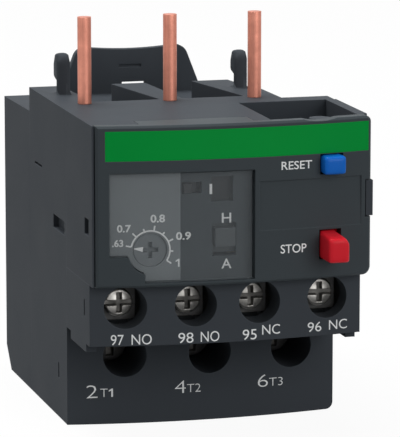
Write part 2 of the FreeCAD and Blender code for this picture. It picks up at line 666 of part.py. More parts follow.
def case_fittings():
    """Sleeves, lever pivot, guide ribs, latch and boss that the case carries."""
    rear = WALL_Y - CASE_WALL
    ribs_z = (FINGER_Z[0] - CARRIER_TRAVEL, FINGER_Z[1])
    left = FINGER_X[0] + FINGER_WIDTH + RUN_GAP
    right = FINGER_X[1] - RUN_GAP
    rib_front = at(CARRIER_DEPTH[1]) + RUN_GAP
    return [sleeve(RESET_X, RESET_Z), sleeve(STOP_X, STOP_Z),
            rod_y(PIVOT_RADIUS, LEVER_X, LEVER_Z, at(LEVER_DEPTH[0]) - RUN_GAP, rear),
            block(left, left + GUIDE_RIB, rib_front, rear, *ribs_z),
            block(right - GUIDE_RIB, right, rib_front, rear, *ribs_z),
            block(LATCH_X, HALF_WIDTH, front_at(RIGHT_X), FASCIA_BACK + WALL, *LATCH_Z),
            rod_z(BOSS_RADIUS, BOSS_X, at(BOSS_DEPTH), POCKET_Z - SEAM, BOSS_Z)]


def mechanism_case():
    """Case of the trip mechanism, open to the fascia."""
    body = joined(case_shell(), *case_fittings())
    pocket = block(POCKET_X[0], POCKET_X[1], FRONT_Y - FRONT_BOW, WALL_Y + 1, POCKET_Z, DECK_Z + 1)
    boss = rod_z(BOSS_RADIUS, BOSS_X, at(BOSS_DEPTH), POCKET_Z, BOSS_Z)
    tongue = block(TONGUE_X[0] - SEAM, TONGUE_X[1] + SEAM, FRONT_Y - FRONT_BOW, at(TONGUE_Y) + SEAM,
                   DECK_Z - TONGUE_T - SEAM, DECK_Z + 1)
    pan_seat = swollen_plate(WINDOW_X[0] - PAN_RIM - SEAM, WINDOW_X[1] + PAN_RIM + SEAM, FASCIA_Z - 1,
                             WINDOW_Z[1] + PAN_RIM + SEAM, 0, PAN_DEPTH + PAN_T + SEAM)
    cuts = [pocket.cut(boss), tongue, pan_seat, sleeve_bore(RESET_X, RESET_Z), sleeve_bore(STOP_X, STOP_Z),
            rod_y(SPINDLE_RADIUS + SHAFT_GAP, DIAL_X, DIAL_Z, at(STEM_END), WALL_Y + 1),
            stem_window(), side_slot(CASE_SLOT)]
    return trimmed(body, *cuts, *contact_slots())


def side_slot(limits):
    """Snap slot in the left wall."""
    (near, far), (low, high) = limits
    return block(LEFT_X - 1, LEFT_X + SIDE_SLOT_DEEP, at(near), at(far), low, high)


def stem_window():
    """Opening in both middle walls for the drive bar's stem."""
    return block(STEM_X[0] - RUN_GAP, STEM_X[1] + BAR_TRAVEL + RUN_GAP, WALL_Y - WALL - 1, WALL_Y + WALL + 1,
                 STEM_Z[0] - RUN_GAP, STEM_Z[1] + RUN_GAP)


def contact_slots():
    """Slots in the case's floor and the block's top for the fixed contacts."""
    front = at(TONGUE_DEPTH) - SHAFT_GAP
    back = front + CONTROL_PLATE_T + 2 * SHAFT_GAP
    reach = LEAF_HALF + SHAFT_GAP
    return [block(x - reach, x + reach, front, back, CONTROL_ROOM_Z[1] - 1, FASCIA_Z + WALL + 1)
            for x in TONGUE_OF_CONTROL_X]


# ---- Control terminal block ----------------------------------------------------------------
def shelf_span(x, tongue_x):
    """X limits of the shelf that joins a terminal plate to its tongue."""
    return (min(x, tongue_x) - LEAF_HALF, max(x, tongue_x) + LEAF_HALF)


def control_block():
    """Overhanging block with four screw wells and cable entries from below."""
    front = at(BLOCK_SETBACK)
    right = RIGHT_X - BLOCK_INSET
    body = swollen_block(LEFT_X, right, front, WALL_Y, LEDGE_Z, FASCIA_Z)
    middles = [(a + b) / 2 for a, b in zip(CONTROL_X, CONTROL_X[1:])]
    ends = [LEFT_X + TEETH_T / 2, right - TEETH_T / 2]
    teeth = [block(x - TEETH_T / 2, x + TEETH_T / 2, at(depth[0]), at(depth[1]), TEETH_Z, LEDGE_Z)
             for places, depth in ((ends, TEETH_DEPTH), (middles, CONTROL_ENTRY_DEPTH)) for x in places]
    shank = CONTROL_SHANK_RADIUS + RUN_GAP
    cuts = contact_slots() + [side_slot(BLOCK_SLOT)]
    for x, tongue_x in zip(CONTROL_X, TONGUE_OF_CONTROL_X):
        plate_y = at(CONTROL_PLATE_DEPTH)
        shelf = shelf_span(x, tongue_x)
        cuts += [
            rod_y(CONTROL_WELL_RADIUS, x, CONTROL_Z, front - 2 * FRONT_BOW, at(CONTROL_HEAD_DEPTH)),
            block(x - CONTROL_ROOM_HALF, x + CONTROL_ROOM_HALF, at(CONTROL_HEAD_DEPTH) - TOUCH_GAP,
                  plate_y + CONTROL_PLATE_T, *CONTROL_ROOM_Z),
            block(shelf[0] - SHAFT_GAP, shelf[1] + SHAFT_GAP, plate_y,
                  at(TONGUE_DEPTH) + CONTROL_PLATE_T + SHAFT_GAP,
                  CONTROL_ROOM_Z[1] - CONTROL_PLATE_T - 2 * SHAFT_GAP, CONTROL_ROOM_Z[1]),
            block(x - CONTROL_ENTRY_HALF, x + CONTROL_ENTRY_HALF, at(CONTROL_ENTRY_DEPTH[0]),
                  at(CONTROL_ENTRY_DEPTH[1]), TEETH_Z - 1, CONTROL_ROOM_Z[0] + 1),
            block(x - shank, x + shank, plate_y, at(CONTACT_DEPTH), CONTROL_Z - shank, CONTROL_Z + shank)]
    return trimmed(joined(body, *teeth), *cuts)


def combination_recess(x, z, face, radius, depth):
    """Screwdriver slot with a short cross through it."""
    wide = radius * RECESS_WIDTH
    return [block(x - radius, x + radius, face - 1, face + depth, z - wide, z + wide),
            block(x - wide, x + wide, face - 1, face + depth, z - radius / 2, z + radius / 2)]


def terminal_screw(x, z, head_y, head_radius, head_t, shank_radius, shank):
    """Pan head screw with a combination recess."""
    head = rod_y(head_radius, x, z, head_y, head_y + head_t)
    shaft = rod_y(shank_radius, x, z, head_y + head_t, head_y + head_t + shank)
    return trimmed(joined(head, shaft), *combination_recess(x, z, head_y, head_radius, head_t / 2))


def saddle_clamp(x, z, y, half, thick, hole):
    """Square saddle with bent edges that grip the wire, carried by the screw."""
    plate = block(x - half, x + half, y, y + thick, z - half, z + half)
    lip = thick * JAW_LIP
    jaw = block(x - half, x + half, y + thick, y + thick + lip, z - half, z - half + thick)
    collar = block(x - half, x + half, y + thick, y + thick + lip, z + half - thick, z + half)
    return trimmed(joined(plate, jaw, collar), flats_hole(hole, x, z, y - 1, y + 2 * thick + 1))


def control_screw(x):
    """Screw of a control terminal."""
    return terminal_screw(x, CONTROL_Z, at(CONTROL_HEAD_DEPTH), CONTROL_HEAD_RADIUS, CONTROL_HEAD_T,
                          CONTROL_SHANK_RADIUS, CONTROL_SHANK)


def control_clamp(x):
    """Saddle of a control terminal."""
    y = at(CONTROL_HEAD_DEPTH) + CONTROL_HEAD_T + TOUCH_GAP
    return saddle_clamp(x, CONTROL_Z, y, CONTROL_CLAMP_HALF, CONTROL_CLAMP_T,
                        CONTROL_SHANK_RADIUS + SHAFT_GAP)


def contact_tip(x, z_range):
    """Square tip of a fixed or moving contact."""
    y = at(CONTACT_DEPTH)
    return block(x - TIP_HALF, x + TIP_HALF, y - TIP_HALF, y + TIP_HALF, *z_range)


def control_plate(x, tongue_x, makes):
    """Terminal plate with a shelf to the rear and a tongue that rises to a fixed contact."""
    front = at(CONTROL_PLATE_DEPTH)
    back = front + CONTROL_PLATE_T
    rear = at(TONGUE_DEPTH)
    low = CONTROL_ROOM_Z[0] + SHAFT_GAP
    high = CONTROL_ROOM_Z[1] - SHAFT_GAP
    plate = block(x - CONTROL_CLAMP_HALF, x + CONTROL_CLAMP_HALF, front, back, low, high)
    shelf = block(*shelf_span(x, tongue_x), front, rear + CONTROL_PLATE_T, high - CONTROL_PLATE_T, high)
    top = NO_CONTACT_Z - TIP_T if makes else NC_CONTACT_Z + TIP_T + LEAF_T
    tongue = block(tongue_x - LEAF_HALF, tongue_x + LEAF_HALF, rear, rear + CONTROL_PLATE_T,
                   high - CONTROL_PLATE_T, top)
    leaf = block(tongue_x - LEAF_HALF, tongue_x + LEAF_HALF, at(CONTACT_DEPTH) - LEAF_HALF, rear,
                 top - LEAF_T, top)
    tip_z = (top, top + TIP_T) if makes else (top - LEAF_T - TIP_T, top - LEAF_T)
    tip = contact_tip(tongue_x, tip_z)
    hole = flats_hole(CONTROL_SHANK_RADIUS + SHAFT_GAP, x, CONTROL_Z, front - 1, back + 1)
    return trimmed(joined(plate, shelf, tongue, leaf, tip), hole)


# ---- Chamber housing -----------------------------------------------------------------------
def terminal_x(pole):
    """X of a pole's power screw and bimetal."""
    return TERMINAL_X + pole * TERMINAL_PITCH


def pin_x(pole):
    """X of a pole's line pin."""
    return PIN_X + pole * PIN_PITCH


def chamber_limits():
    """X limits of the pole chambers between the walls and partitions."""
    lefts = [LEFT_X + WALL] + [x + WEB / 2 for x in PARTITION_X]
    rights = [x - WEB / 2 for x in PARTITION_X] + [HOUSING_RIGHT - WALL]
    return list(zip(lefts, rights))


def channel(front_x, rear_x):
    """Open channel in the deck, from its front end to the rear cover."""
    y = at(CHANNEL_DEPTH)
    points = [V(front_x[0], y, CHANNEL_Z), V(front_x[1], y, CHANNEL_Z), V(rear_x[1], STEP_Y + SEAM, CHANNEL_Z),
              V(rear_x[0], STEP_Y + SEAM, CHANNEL_Z)]
    return prism(points, V(0, 0, DECK_Z - CHANNEL_Z + 1))


def deck_cuts():
    """Channels between the ribs, and the lower deck at the right."""
    (mid_front, mid_rear), (right_front, right_rear) = MIDDLE_RIB_X, RIGHT_RIB_X
    return [channel((LEFT_RIB_X[0], mid_front[0]), (LEFT_RIB_X[1], mid_rear[0])),
            channel((mid_front[1], right_front[0]), (mid_rear[1], right_rear[0])),
            channel((right_front[1], HOUSING_RIGHT + 1), (right_rear[1], HOUSING_RIGHT + 1)),
            block(right_front[1], HOUSING_RIGHT + 1, at(RIB_WALL_BACK), at(CHANNEL_DEPTH) + SEAM,
                  CHANNEL_Z, DECK_Z + 1)]


def locating_tab(x_range, height):
    """Tab on the deck with a head that hangs over to the rear and a bevelled top."""
    y = at(TAB_DEPTH)
    z = DECK_Z
    head_z = z + TAB_HEAD_Z
    top = z + height
    back = y + TAB_T
    side = [V(x_range[0], y, z), V(x_range[0], y, top - TAB_T / 2), V(x_range[0], y + TAB_T / 2, top),
            V(x_range[0], back + TAB_HEAD / 2, top), V(x_range[0], back + TAB_HEAD, top - TAB_T),
            V(x_range[0], back + TAB_HEAD, head_z + TAB_HEAD / 4), V(x_range[0], back, head_z),
            V(x_range[0], back, z)]
    return prism(side, V(x_range[1] - x_range[0], 0, 0))


def pole_cuts(pole, limits):
    """Chamber, terminal room, screw well, cable entry and pin hole of one pole."""
    x = terminal_x(pole)
    front = WALL_Y + WALL
    return [
        block(limits[0], limits[1], front, STEP_Y + 1, *CHAMBER_Z),
        block(x - POWER_ROOM_HALF, x + POWER_ROOM_HALF, at(POWER_ROOM_DEPTH), STEP_Y + 1, *POWER_ROOM_Z),
        block(x - POWER_ROOM_HALF, x + POWER_ROOM_HALF, at(POWER_PLATE_DEPTH) - RUN_GAP, STEP_Y + 1,
              POWER_ROOM_Z[1] - 1, CHAMBER_Z[0] + 1),
        rod_y(POWER_WELL_RADIUS, x, TERMINAL_Z, WALL_Y - 2 * FRONT_BOW, at(POWER_ROOM_DEPTH) + SEAM),
        block(x - POWER_ENTRY_HALF, x + POWER_ENTRY_HALF, at(POWER_ENTRY_DEPTH[0]),
              at(POWER_ENTRY_DEPTH[1]), -1, POWER_ROOM_Z[0] + 1),
        neck_bar(pole, SHAFT_GAP, CHAMBER_Z[1] - 1, DECK_Z + 1)]


def chamber_housing():
    """Main moulding: power front, pole chambers, deck with ribs and locating tabs."""
    low = swollen_block(LEFT_X, HOUSING_RIGHT, WALL_Y, STEP_Y, 0, LEDGE_Z)
    high = block(LEFT_X, HOUSING_RIGHT, WALL_Y, STEP_Y, LEDGE_Z, DECK_Z)
    body = joined(low, high)
    body = rounded(body, FOOT_ROUND, lambda p: p.x > HOUSING_RIGHT - SEAM and p.z < SEAM)
    cuts = deck_cuts() + [stem_window()] + [side_slot(limits) for limits in HOUSING_SLOTS]
    for pole, limits in enumerate(chamber_limits()):
        cuts += pole_cuts(pole, limits)
    tabs = [locating_tab(TAB_LEFT_X, TAB_HEIGHT), locating_tab(TAB_RIGHT_X, TAB_HEIGHT - TAB_LOWER)]
    return joined(trimmed(body, *cuts), *tabs)


# ---- Rear cover ----------------------------------------------------------------------------
def hook():
    """Upright plate that hooks onto the switch above, wider at its foot."""
    y = REAR_Y - HOOK_INSET - HOOK_T
    z = REAR_TOP_Z - WALL / 2
    points = [V(HOOK_X - HOOK_HALF_BASE, y, z), V(HOOK_X + HOOK_HALF_BASE, y, z),
              V(HOOK_X + HOOK_HALF_TOP, y, HOOK_Z), V(HOOK_X - HOOK_HALF_TOP, y, HOOK_Z)]
    plate = prism(points, V(0, HOOK_T, 0))
    plate = rounded(plate, HOOK_CORNER, lambda p: p.z > HOOK_Z - SEAM and p.x > HOOK_X)
    plate = rounded(plate, HOOK_CORNER, lambda p: p.z > HOOK_Z - SEAM and p.x < HOOK_X - HOOK_CORNER)
    half = HOOK_HALF_TOP - HOOK_CORNER / 2
    sag_radius = (half ** 2 + HOOK_SAG ** 2) / (2 * HOOK_SAG)
    sag = rod_y(sag_radius, HOOK_X, HOOK_Z + sag_radius - HOOK_SAG, y - 1, y + HOOK_T + 1)
    opening = block(HOOK_SLOT_X[0], HOOK_SLOT_X[1], y - 1, y + HOOK_T + 1, REAR_TOP_Z, HOOK_SLOT_Z)
    groove = block(HOOK_LEDGE_X[0], HOOK_LEDGE_X[1], y - 1, y + HOOK_T / 4, HOOK_LEDGE_Z - HOOK_SAG,
                   HOOK_LEDGE_Z)
    return plate.cut([sag, opening, groove])


def rear_cover():
    """Tub that closes the pole chambers at the back, with a slanted foot and the hook."""
    side = [V(LEFT_X, STEP_Y, 0), V(LEFT_X, REAR_Y - SLANT_Y - FOOT_BEVEL, 0),
            V(LEFT_X, REAR_Y - SLANT_Y, FOOT_BEVEL), V(LEFT_X, REAR_Y, SLANT_Z),
            V(LEFT_X, REAR_Y, REAR_TOP_Z - REAR_FALL), V(LEFT_X, STEP_Y, REAR_TOP_Z)]
    tub = prism(side, V(HOUSING_RIGHT - LEFT_X, 0, 0))
    tub = rounded(tub, FOOT_ROUND, lambda p: p.x > HOUSING_RIGHT - SEAM and p.z < SEAM)
    rooms = [block(x0, x1, STEP_Y - 1, REAR_Y - WALL, SLANT_Z, REAR_TOP_Z - REAR_FALL - WALL)
             for x0, x1 in chamber_limits()]
    bars = block(BAR_X[0] - RUN_GAP, BAR_X[1] + BAR_TRAVEL + RUN_GAP, at(STRIP_DEPTH) - bar_half() - RUN_GAP,
                 at(STRIP_DEPTH) + bar_half() + RUN_GAP, BAR_Z[0] - RUN_GAP, STEM_Z[1] + RUN_GAP)
    return joined(trimmed(tub, bars, *rooms), hook())


# ---- Poles ---------------------------------------------------------------------------------
def neck_bar(pole, gap, low, high):
    """Square bar at a line pin's place, grown by a gap."""
    x = pin_x(pole)
    half = NECK_WIDTH / 2 + gap
    return block(x - half, x + half, at(PIN_DEPTH) - half, at(PIN_DEPTH) + half, low, high)


def line_pin(pole):
    """Copper line pin with a flat tail that crosses over to its pole."""
    x = pin_x(pole)
    to_x = terminal_x(pole)
    pin = rod_z(PIN_RADIUS, x, at(PIN_DEPTH), DECK_Z, DECK_Z + PIN_REACH)
    neck = neck_bar(pole, 0, PIN_FOOT_Z, DECK_Z)
    half = TAIL_WIDTH / 2
    cross = at(TAIL_CROSS_DEPTH)
    coil_front = at(STRIP_DEPTH) - STRIP_WIDTH / 2 - COIL_GAP - COIL_WIRE
    low = PIN_FOOT_Z
    high = PIN_FOOT_Z + TAIL_T
    back = block(x - half, x + half, at(PIN_DEPTH), cross + half, low, high)
    over = block(min(x, to_x) - half, max(x, to_x) + half, cross - half, cross + half, low, high)
    on = block(to_x - half, to_x + half, cross, coil_front - 2 * RUN_GAP, low, high)
    return joined(pin, neck, back, over, on)


def bimetal_strip(pole):
    """Bimetal strip that leans sideways as it warms."""
    x = terminal_x(pole)
    y = at(STRIP_DEPTH)
    return block(x - STRIP_T / 2, x + STRIP_T / 2, y - STRIP_WIDTH / 2, y + STRIP_WIDTH / 2, *STRIP_Z)


def heater_winding(pole):
    """Flat winding around the strip: a square wire led round four corners per turn."""
    half_x = STRIP_T / 2 + COIL_GAP + COIL_WIRE / 2
    half_y = STRIP_WIDTH / 2 + COIL_GAP + COIL_WIRE / 2
    pitch = (COIL_Z[1] - COIL_Z[0]) / COIL_TURNS
    corners = ((half_x, -half_y), (half_x, half_y), (-half_x, half_y), (-half_x, -half_y))
    middle_point = V(terminal_x(pole), at(STRIP_DEPTH), COIL_Z[0])
    points = [middle_point + V(corners[i % 4][0], corners[i % 4][1], i * pitch / 4)
              for i in range(4 * COIL_TURNS + 1)]
    return wire_through(points, COIL_WIRE)


def power_plate(pole):
    """Load plate: threaded plate, riser to the chamber and a clip for the bimetal's foot."""
    x = terminal_x(pole)
    front = at(POWER_PLATE_DEPTH)
    half = POWER_CLAMP_HALF
    low = POWER_ROOM_Z[0] + RUN_GAP
    shelf_z = STRIP_Z[0] - TOUCH_GAP - RISER_T
    plate = block(x - half, x + half, front, front + POWER_PLATE_T, low, shelf_z + RISER_T)
    clip_y = (at(STRIP_DEPTH) - STRIP_WIDTH / 2, at(STRIP_DEPTH) + STRIP_WIDTH / 2)
    shelf = block(x - half / 2, x + half / 2, front, clip_y[1], shelf_z, shelf_z + RISER_T)
    inner = STRIP_T / 2 + TOUCH_GAP
    cheeks = [block(x + side * inner - (CLIP_T if side < 0 else 0), x + side * inner + (CLIP_T if side > 0 else 0),
                    clip_y[0], clip_y[1], shelf_z, shelf_z + CLIP_HEIGHT) for side in (-1, 1)]
    hole = flats_hole(POWER_SHANK_RADIUS + SHAFT_GAP, x, TERMINAL_Z, front - 1, front + POWER_PLATE_T + 1)
    return trimmed(joined(plate, shelf, *cheeks), hole)


def power_screw(pole):
    """Screw of a power terminal."""
    return terminal_screw(terminal_x(pole), TERMINAL_Z, at(POWER_HEAD_DEPTH), POWER_HEAD_RADIUS,
                          POWER_HEAD_T, POWER_SHANK_RADIUS, POWER_SHANK)


def power_clamp(pole):
    """Saddle of a power terminal."""
    y = at(POWER_HEAD_DEPTH) + POWER_HEAD_T + TOUCH_GAP
    return saddle_clamp(terminal_x(pole), TERMINAL_Z, y, POWER_CLAMP_HALF, POWER_CLAMP_T,
                        POWER_SHANK_RADIUS + SHAFT_GAP)


# ---- Trip mechanism ------------------------------------------------------------------------
def bar_half():
    """Half width of the trip bars."""
    return STRIP_WIDTH / 2 + BAR_MARGIN


def trip_bar(z):
    """Insulating bar with a slot around the tip of each bimetal."""
    y = at(STRIP_DEPTH)
    bar = block(BAR_X[0], BAR_X[1], y - bar_half(), y + bar_half(), z, z + BAR_T)
    slots = []
    for pole in range(POLES):
        x = terminal_x(pole)
        slots.append(block(x - STRIP_T / 2 - RUN_GAP, x + STRIP_T / 2 + RUN_GAP,
                           y - STRIP_WIDTH / 2 - RUN_GAP, y + STRIP_WIDTH / 2 + RUN_GAP, z - 1, z + BAR_T + 1))
    return trimmed(bar, *slots)


def drive_bar():
    """Upper bar with the stem that reaches the trip lever."""
    bar = trip_bar(BAR_Z[1])
    front = at(STRIP_DEPTH) - bar_half()
    stem = block(STEM_X[0], STEM_X[1], at(STEM_FRONT), front + BAR_MARGIN / 2, *STEM_Z)
    foot = block(STEM_X[0], STEM_X[1], front, front + BAR_MARGIN / 2, BAR_Z[1], STEM_Z[1])
    return joined(bar, stem, foot)


def differential_bar():
    """Lower bar that follows the coolest pole."""
    return trip_bar(BAR_Z[0])


def trip_lever():
    """Bell crank: upright arm at the stem, long arm over the carrier, short toe at the cam."""
    front = at(LEVER_DEPTH[0])
    back = at(LEVER_DEPTH[1])
    hub = rod_y(LEVER_HUB, LEVER_X, LEVER_Z, front, back)
    upright = block(LEVER_X - LEVER_ARM, LEVER_X + LEVER_ARM, front, back, LEVER_Z, LEVER_Z + LEVER_HIGH)
    toe = block(LEVER_X - LEVER_ARM, LEVER_X + LEVER_ARM, front, back, LEVER_Z - LEVER_TOE, LEVER_Z)
    under = LEVER_Z - LEVER_UNDER
    long_arm = prism([V(LEVER_X, front, under), V(LEVER_X + LEVER_REACH, front, under),
                      V(LEVER_X + LEVER_REACH, front, LEVER_Z + LEVER_TIP_OVER),
                      V(LEVER_X, front, LEVER_Z + LEVER_ROOT_OVER)], V(0, back - front, 0))
    bore = rod_y(PIVOT_RADIUS + SHAFT_GAP, LEVER_X, LEVER_Z, front - 1, back + 1)
    return trimmed(joined(hub, upright, toe, long_arm), bore)


def bridge_z(makes):
    """Underside of a contact bridge's plate at rest."""
    if makes:
        return NO_CONTACT_Z + TOUCH_GAP + CARRIER_TRAVEL + TIP_T
    return NC_CONTACT_Z - TOUCH_GAP - TIP_T - BRIDGE_T


def contact_bridge(tongues, makes):
    """Moving contact: a plate with a tip at each end."""
    x0 = min(tongues)
    x1 = max(tongues)
    y = at(CONTACT_DEPTH)
    z = bridge_z(makes)
    plate = block(x0 - BRIDGE_OVER, x1 + BRIDGE_OVER, y - BRIDGE_HALF, y + BRIDGE_HALF, z, z + BRIDGE_T)
    tip_z = (z - TIP_T, z) if makes else (z + BRIDGE_T, z + BRIDGE_T + TIP_T)
    return joined(plate, contact_tip(x0, tip_z), contact_tip(x1, tip_z))


def carrier_post(x, makes):
    """Post that hangs from the carrier and holds a bridge."""
    z = bridge_z(makes)
    post = block(x - POST_HALF, x + POST_HALF, at(CARRIER_DEPTH[0]), at(CARRIER_DEPTH[1]), z - POST_HALF,
                 CARRIER_Z[1])
    opening = block(x - POST_HALF - 1, x + POST_HALF + 1, at(CONTACT_DEPTH) - BRIDGE_HALF,
                    at(CONTACT_DEPTH) + BRIDGE_HALF, z, z + BRIDGE_T)
    return post, opening


def contact_carrier():
    """Carrier of both bridges, with its guide fingers and the arm that shows the flag."""
    depth = (at(CARRIER_DEPTH[0]), at(CARRIER_DEPTH[1]))
    bar = block(CARRIER_X[0], CARRIER_X[1], depth[0], depth[1], *CARRIER_Z)
    fingers = [block(x, x + FINGER_WIDTH, depth[1] - SEAM, at(FINGER_BACK), *FINGER_Z) for x in FINGER_X]
    flag_y = max(front_at(x, PAN_DEPTH + PAN_T) for x in FLAG_WINDOW_X) + RUN_GAP
    arm = block(ARM_X[0], ARM_X[1], flag_y, depth[0] + SEAM, *ARM_Z)
    flag = block(FLAG_WINDOW_X[0] - TOUCH_GAP, FLAG_WINDOW_X[1] + TOUCH_GAP, flag_y, flag_y + FLAG_T,
                 ARM_Z[0], FLAG_TOP)
    root = block(ARM_X[0], ARM_X[1], depth[0], depth[0] + SEAM + FLAG_T, CARRIER_Z[0], ARM_Z[1])
    no_post, no_opening = carrier_post(NO_POST_X, True)
    nc_post, nc_opening = carrier_post(NC_POST_X, False)
    return trimmed(joined(bar, arm, flag, root, no_post, nc_post, *fingers), no_opening, nc_opening)


def carrier_spring():
    """Spring that holds the carrier up until the relay trips."""
    low = FASCIA_Z + WALL + SHAFT_GAP
    spring = coil_spring(CARRIER_SPRING_RADIUS, SPRING_WIRE, SPRING_TURNS, CARRIER_Z[0] - SHAFT_GAP - low)
    return spring.translated(V(CARRIER_SPRING_X, at(CONTACT_DEPTH), low))


# ---- Assembly ------------------------------------------------------------------------------
def assembly():
    """All pieces by name."""
    nodes = {
        "chamber_housing": chamber_housing(), "rear_cover": rear_cover(),
        "mechanism_case": mechanism_case(), "control_block": control_block(), "fascia": fascia(),
        "colour_band": colour_band(), "scale_plate": scale_plate(), "window_cover": window_cover(),
        "adjustment_dial": adjustment_dial(), "mode_selector": mode_selector(),
        "test_slider": test_slider(), "reset_button": reset_button(), "stop_button": stop_button(),
        "reset_spring": button_spring(RESET_X, RESET_Z), "stop_spring": button_spring(STOP_X, STOP_Z),
        "carrier_spring": carrier_spring(), "contact_carrier": contact_carrier(),
        "make_bridge": contact_bridge(TONGUE_OF_CONTROL_X[:2], True),
        "break_bridge": contact_bridge(TONGUE_OF_CONTROL_X[2:], False),
        "trip_lever": trip_lever(), "drive_bar": drive_bar(), "differential_bar": differential_bar(),
    }
    for pole in range(POLES):
        suffix = str(pole + 1)
        nodes["line_pin_" + suffix] = line_pin(pole)
        nodes["bimetal_strip_" + suffix] = bimetal_strip(pole)
        nodes["heater_winding_" + suffix] = heater_winding(pole)
        nodes["power_plate_" + suffix] = power_plate(pole)
        nodes["power_clamp_" + suffix] = power_clamp(pole)
        nodes["power_screw_" + suffix] = power_screw(pole)
    for name, x, tongue_x in zip(CONTROL_NAMES, CONTROL_X, TONGUE_OF_CONTROL_X):
        makes = name in CONTROL_NAMES[:2]
        nodes["control_plate_" + name] = control_plate(x, tongue_x, makes)
        nodes["control_clamp_" + name] = control_clamp(x)
        nodes["control_screw_" + name] = control_screw(x)
    return nodes


def main():
    """Write one STEP file per piece."""
    os.makedirs("parts", exist_ok=True)
    for node, shape in assembly().items():
        shape.exportStep("parts/" + node + ".step")
        box = shape.BoundBox
        print("%-20s solids %d valid %s volume %8.1f x %.2f..%.2f y %.2f..%.2f z %.2f..%.2f" % (
            node, len(shape.Solids), shape.isValid(), shape.Volume, box.XMin, box.XMax, box.YMin, box.YMax,
            box.ZMin, box.ZMax))


main()
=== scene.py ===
"""Finish and lettering of a thermal overload relay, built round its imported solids.

Every length is in metres, in the frame of the solids: X to the right of the fascia,
Y from the fascia to the rear, Z up along the line pins.
"""

import json
import logging
import math
from dataclasses import dataclass
from enum import Enum
from typing import Optional

import bpy
import numpy as np
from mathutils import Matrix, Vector


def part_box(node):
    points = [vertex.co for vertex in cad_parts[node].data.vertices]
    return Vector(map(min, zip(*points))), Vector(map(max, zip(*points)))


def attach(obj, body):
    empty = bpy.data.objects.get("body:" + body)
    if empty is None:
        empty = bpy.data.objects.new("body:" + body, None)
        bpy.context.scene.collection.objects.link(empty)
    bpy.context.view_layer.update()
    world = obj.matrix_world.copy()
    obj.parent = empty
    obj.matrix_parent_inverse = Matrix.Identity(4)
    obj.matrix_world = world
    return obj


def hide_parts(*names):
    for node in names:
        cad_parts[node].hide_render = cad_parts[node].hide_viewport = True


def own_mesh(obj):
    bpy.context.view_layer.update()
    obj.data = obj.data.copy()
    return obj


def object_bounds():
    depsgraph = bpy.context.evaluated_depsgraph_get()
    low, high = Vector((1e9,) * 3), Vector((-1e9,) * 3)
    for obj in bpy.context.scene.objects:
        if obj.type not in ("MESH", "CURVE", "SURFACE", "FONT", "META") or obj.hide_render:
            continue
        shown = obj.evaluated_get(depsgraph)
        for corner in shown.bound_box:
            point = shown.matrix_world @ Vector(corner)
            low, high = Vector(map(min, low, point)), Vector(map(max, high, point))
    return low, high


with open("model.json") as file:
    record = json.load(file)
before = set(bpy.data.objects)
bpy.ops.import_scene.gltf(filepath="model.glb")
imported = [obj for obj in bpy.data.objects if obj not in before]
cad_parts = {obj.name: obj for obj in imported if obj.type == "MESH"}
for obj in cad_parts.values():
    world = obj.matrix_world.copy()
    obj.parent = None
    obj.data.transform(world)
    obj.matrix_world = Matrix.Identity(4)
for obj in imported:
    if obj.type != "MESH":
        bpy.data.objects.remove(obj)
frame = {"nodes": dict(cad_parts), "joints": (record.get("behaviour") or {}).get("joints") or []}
CAD_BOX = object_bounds()

MM = 0.001
POLES = ("1", "2", "3")
CONTACTS = ("97", "98", "95", "96")
LOG = logging.getLogger("relay")

FRONT_RISE = 2.2 * MM       # of the swollen fronts over their corners

Colour = tuple[float, float, float]
Faces = list[list[int]]
Shape = tuple[np.ndarray, Faces]


# ---- Node sheets ----
class NodeSheet:
    """Short hand for the nodes of one tree."""

    def __init__(self, tree: bpy.types.NodeTree) -> None:
        """Keeps the tree and empties it.

        Args:
            tree: the shader or geometry tree to fill.
        """
        self.tree = tree
        tree.nodes.clear()

    def add(self, kind: str, inputs: Optional[dict] = None, **settings: object) -> bpy.types.Node:
        """Adds a node.

        Args:
            kind: the node's type name.
            inputs: socket name or number to a value or to another node's socket.
            **settings: properties of the node.

        Returns:
            The new node.
        """
        node = self.tree.nodes.new(kind)
        for name, value in settings.items():
            setattr(node, name, value)
        for key, value in (inputs or {}).items():
            self.feed(node.inputs[key], value)
        return node

    def feed(self, socket: bpy.types.NodeSocket, value: object) -> None:
        """Links a socket to another, or gives it a value.

        Args:
            socket: the input to fill.
            value: an output socket, a number, a colour or a vector.
        """
        if isinstance(value, bpy.types.NodeSocket):
            self.tree.links.new(value, socket)
        elif isinstance(value, tuple) and len(value) == 3 and socket.type == "RGBA":
            socket.default_value = (*value, 1.0)
        else:
            socket.default_value = value

    def math(self, operation: str, *values: object, clamp: bool = False) -> bpy.types.NodeSocket:
        """Adds a math node.

        Args:
            operation: the operation's name.
            *values: its operands.
            clamp: True to keep the result between 0 and 1.

        Returns:
            The result's socket.
        """
        node = self.add("ShaderNodeMath", dict(enumerate(values)), operation=operation, use_clamp=clamp)
        return node.outputs[0]

    def vector(self, operation: str, *values: object) -> bpy.types.NodeSocket:
        """Adds a vector math node.

        Args:
            operation: the operation's name.
            *values: its vectors, or a vector and the number that scales it.

        Returns:
            The result's socket.
        """
        keys = (0, "Scale") if operation == "SCALE" else (0, 1)
        node = self.add("ShaderNodeVectorMath", dict(zip(keys, values)), operation=operation)
        return node.outputs["Value" if operation == "DOT_PRODUCT" else "Vector"]

    def noise(self, place: object, scale: object, detail: float, roughness: float) -> bpy.types.NodeSocket:
        """Adds a noise.

        Args:
            place: where it is read.
            scale: features per unit.
            detail: finer layers.
            roughness: how strong each finer layer is.

        Returns:
            The noise's socket, about 0.5 on average.
        """
        return self.add("ShaderNodeTexNoise", {"Vector": place, "Scale": scale, "Detail": detail,
                                               "Roughness": roughness}).outputs["Fac"]


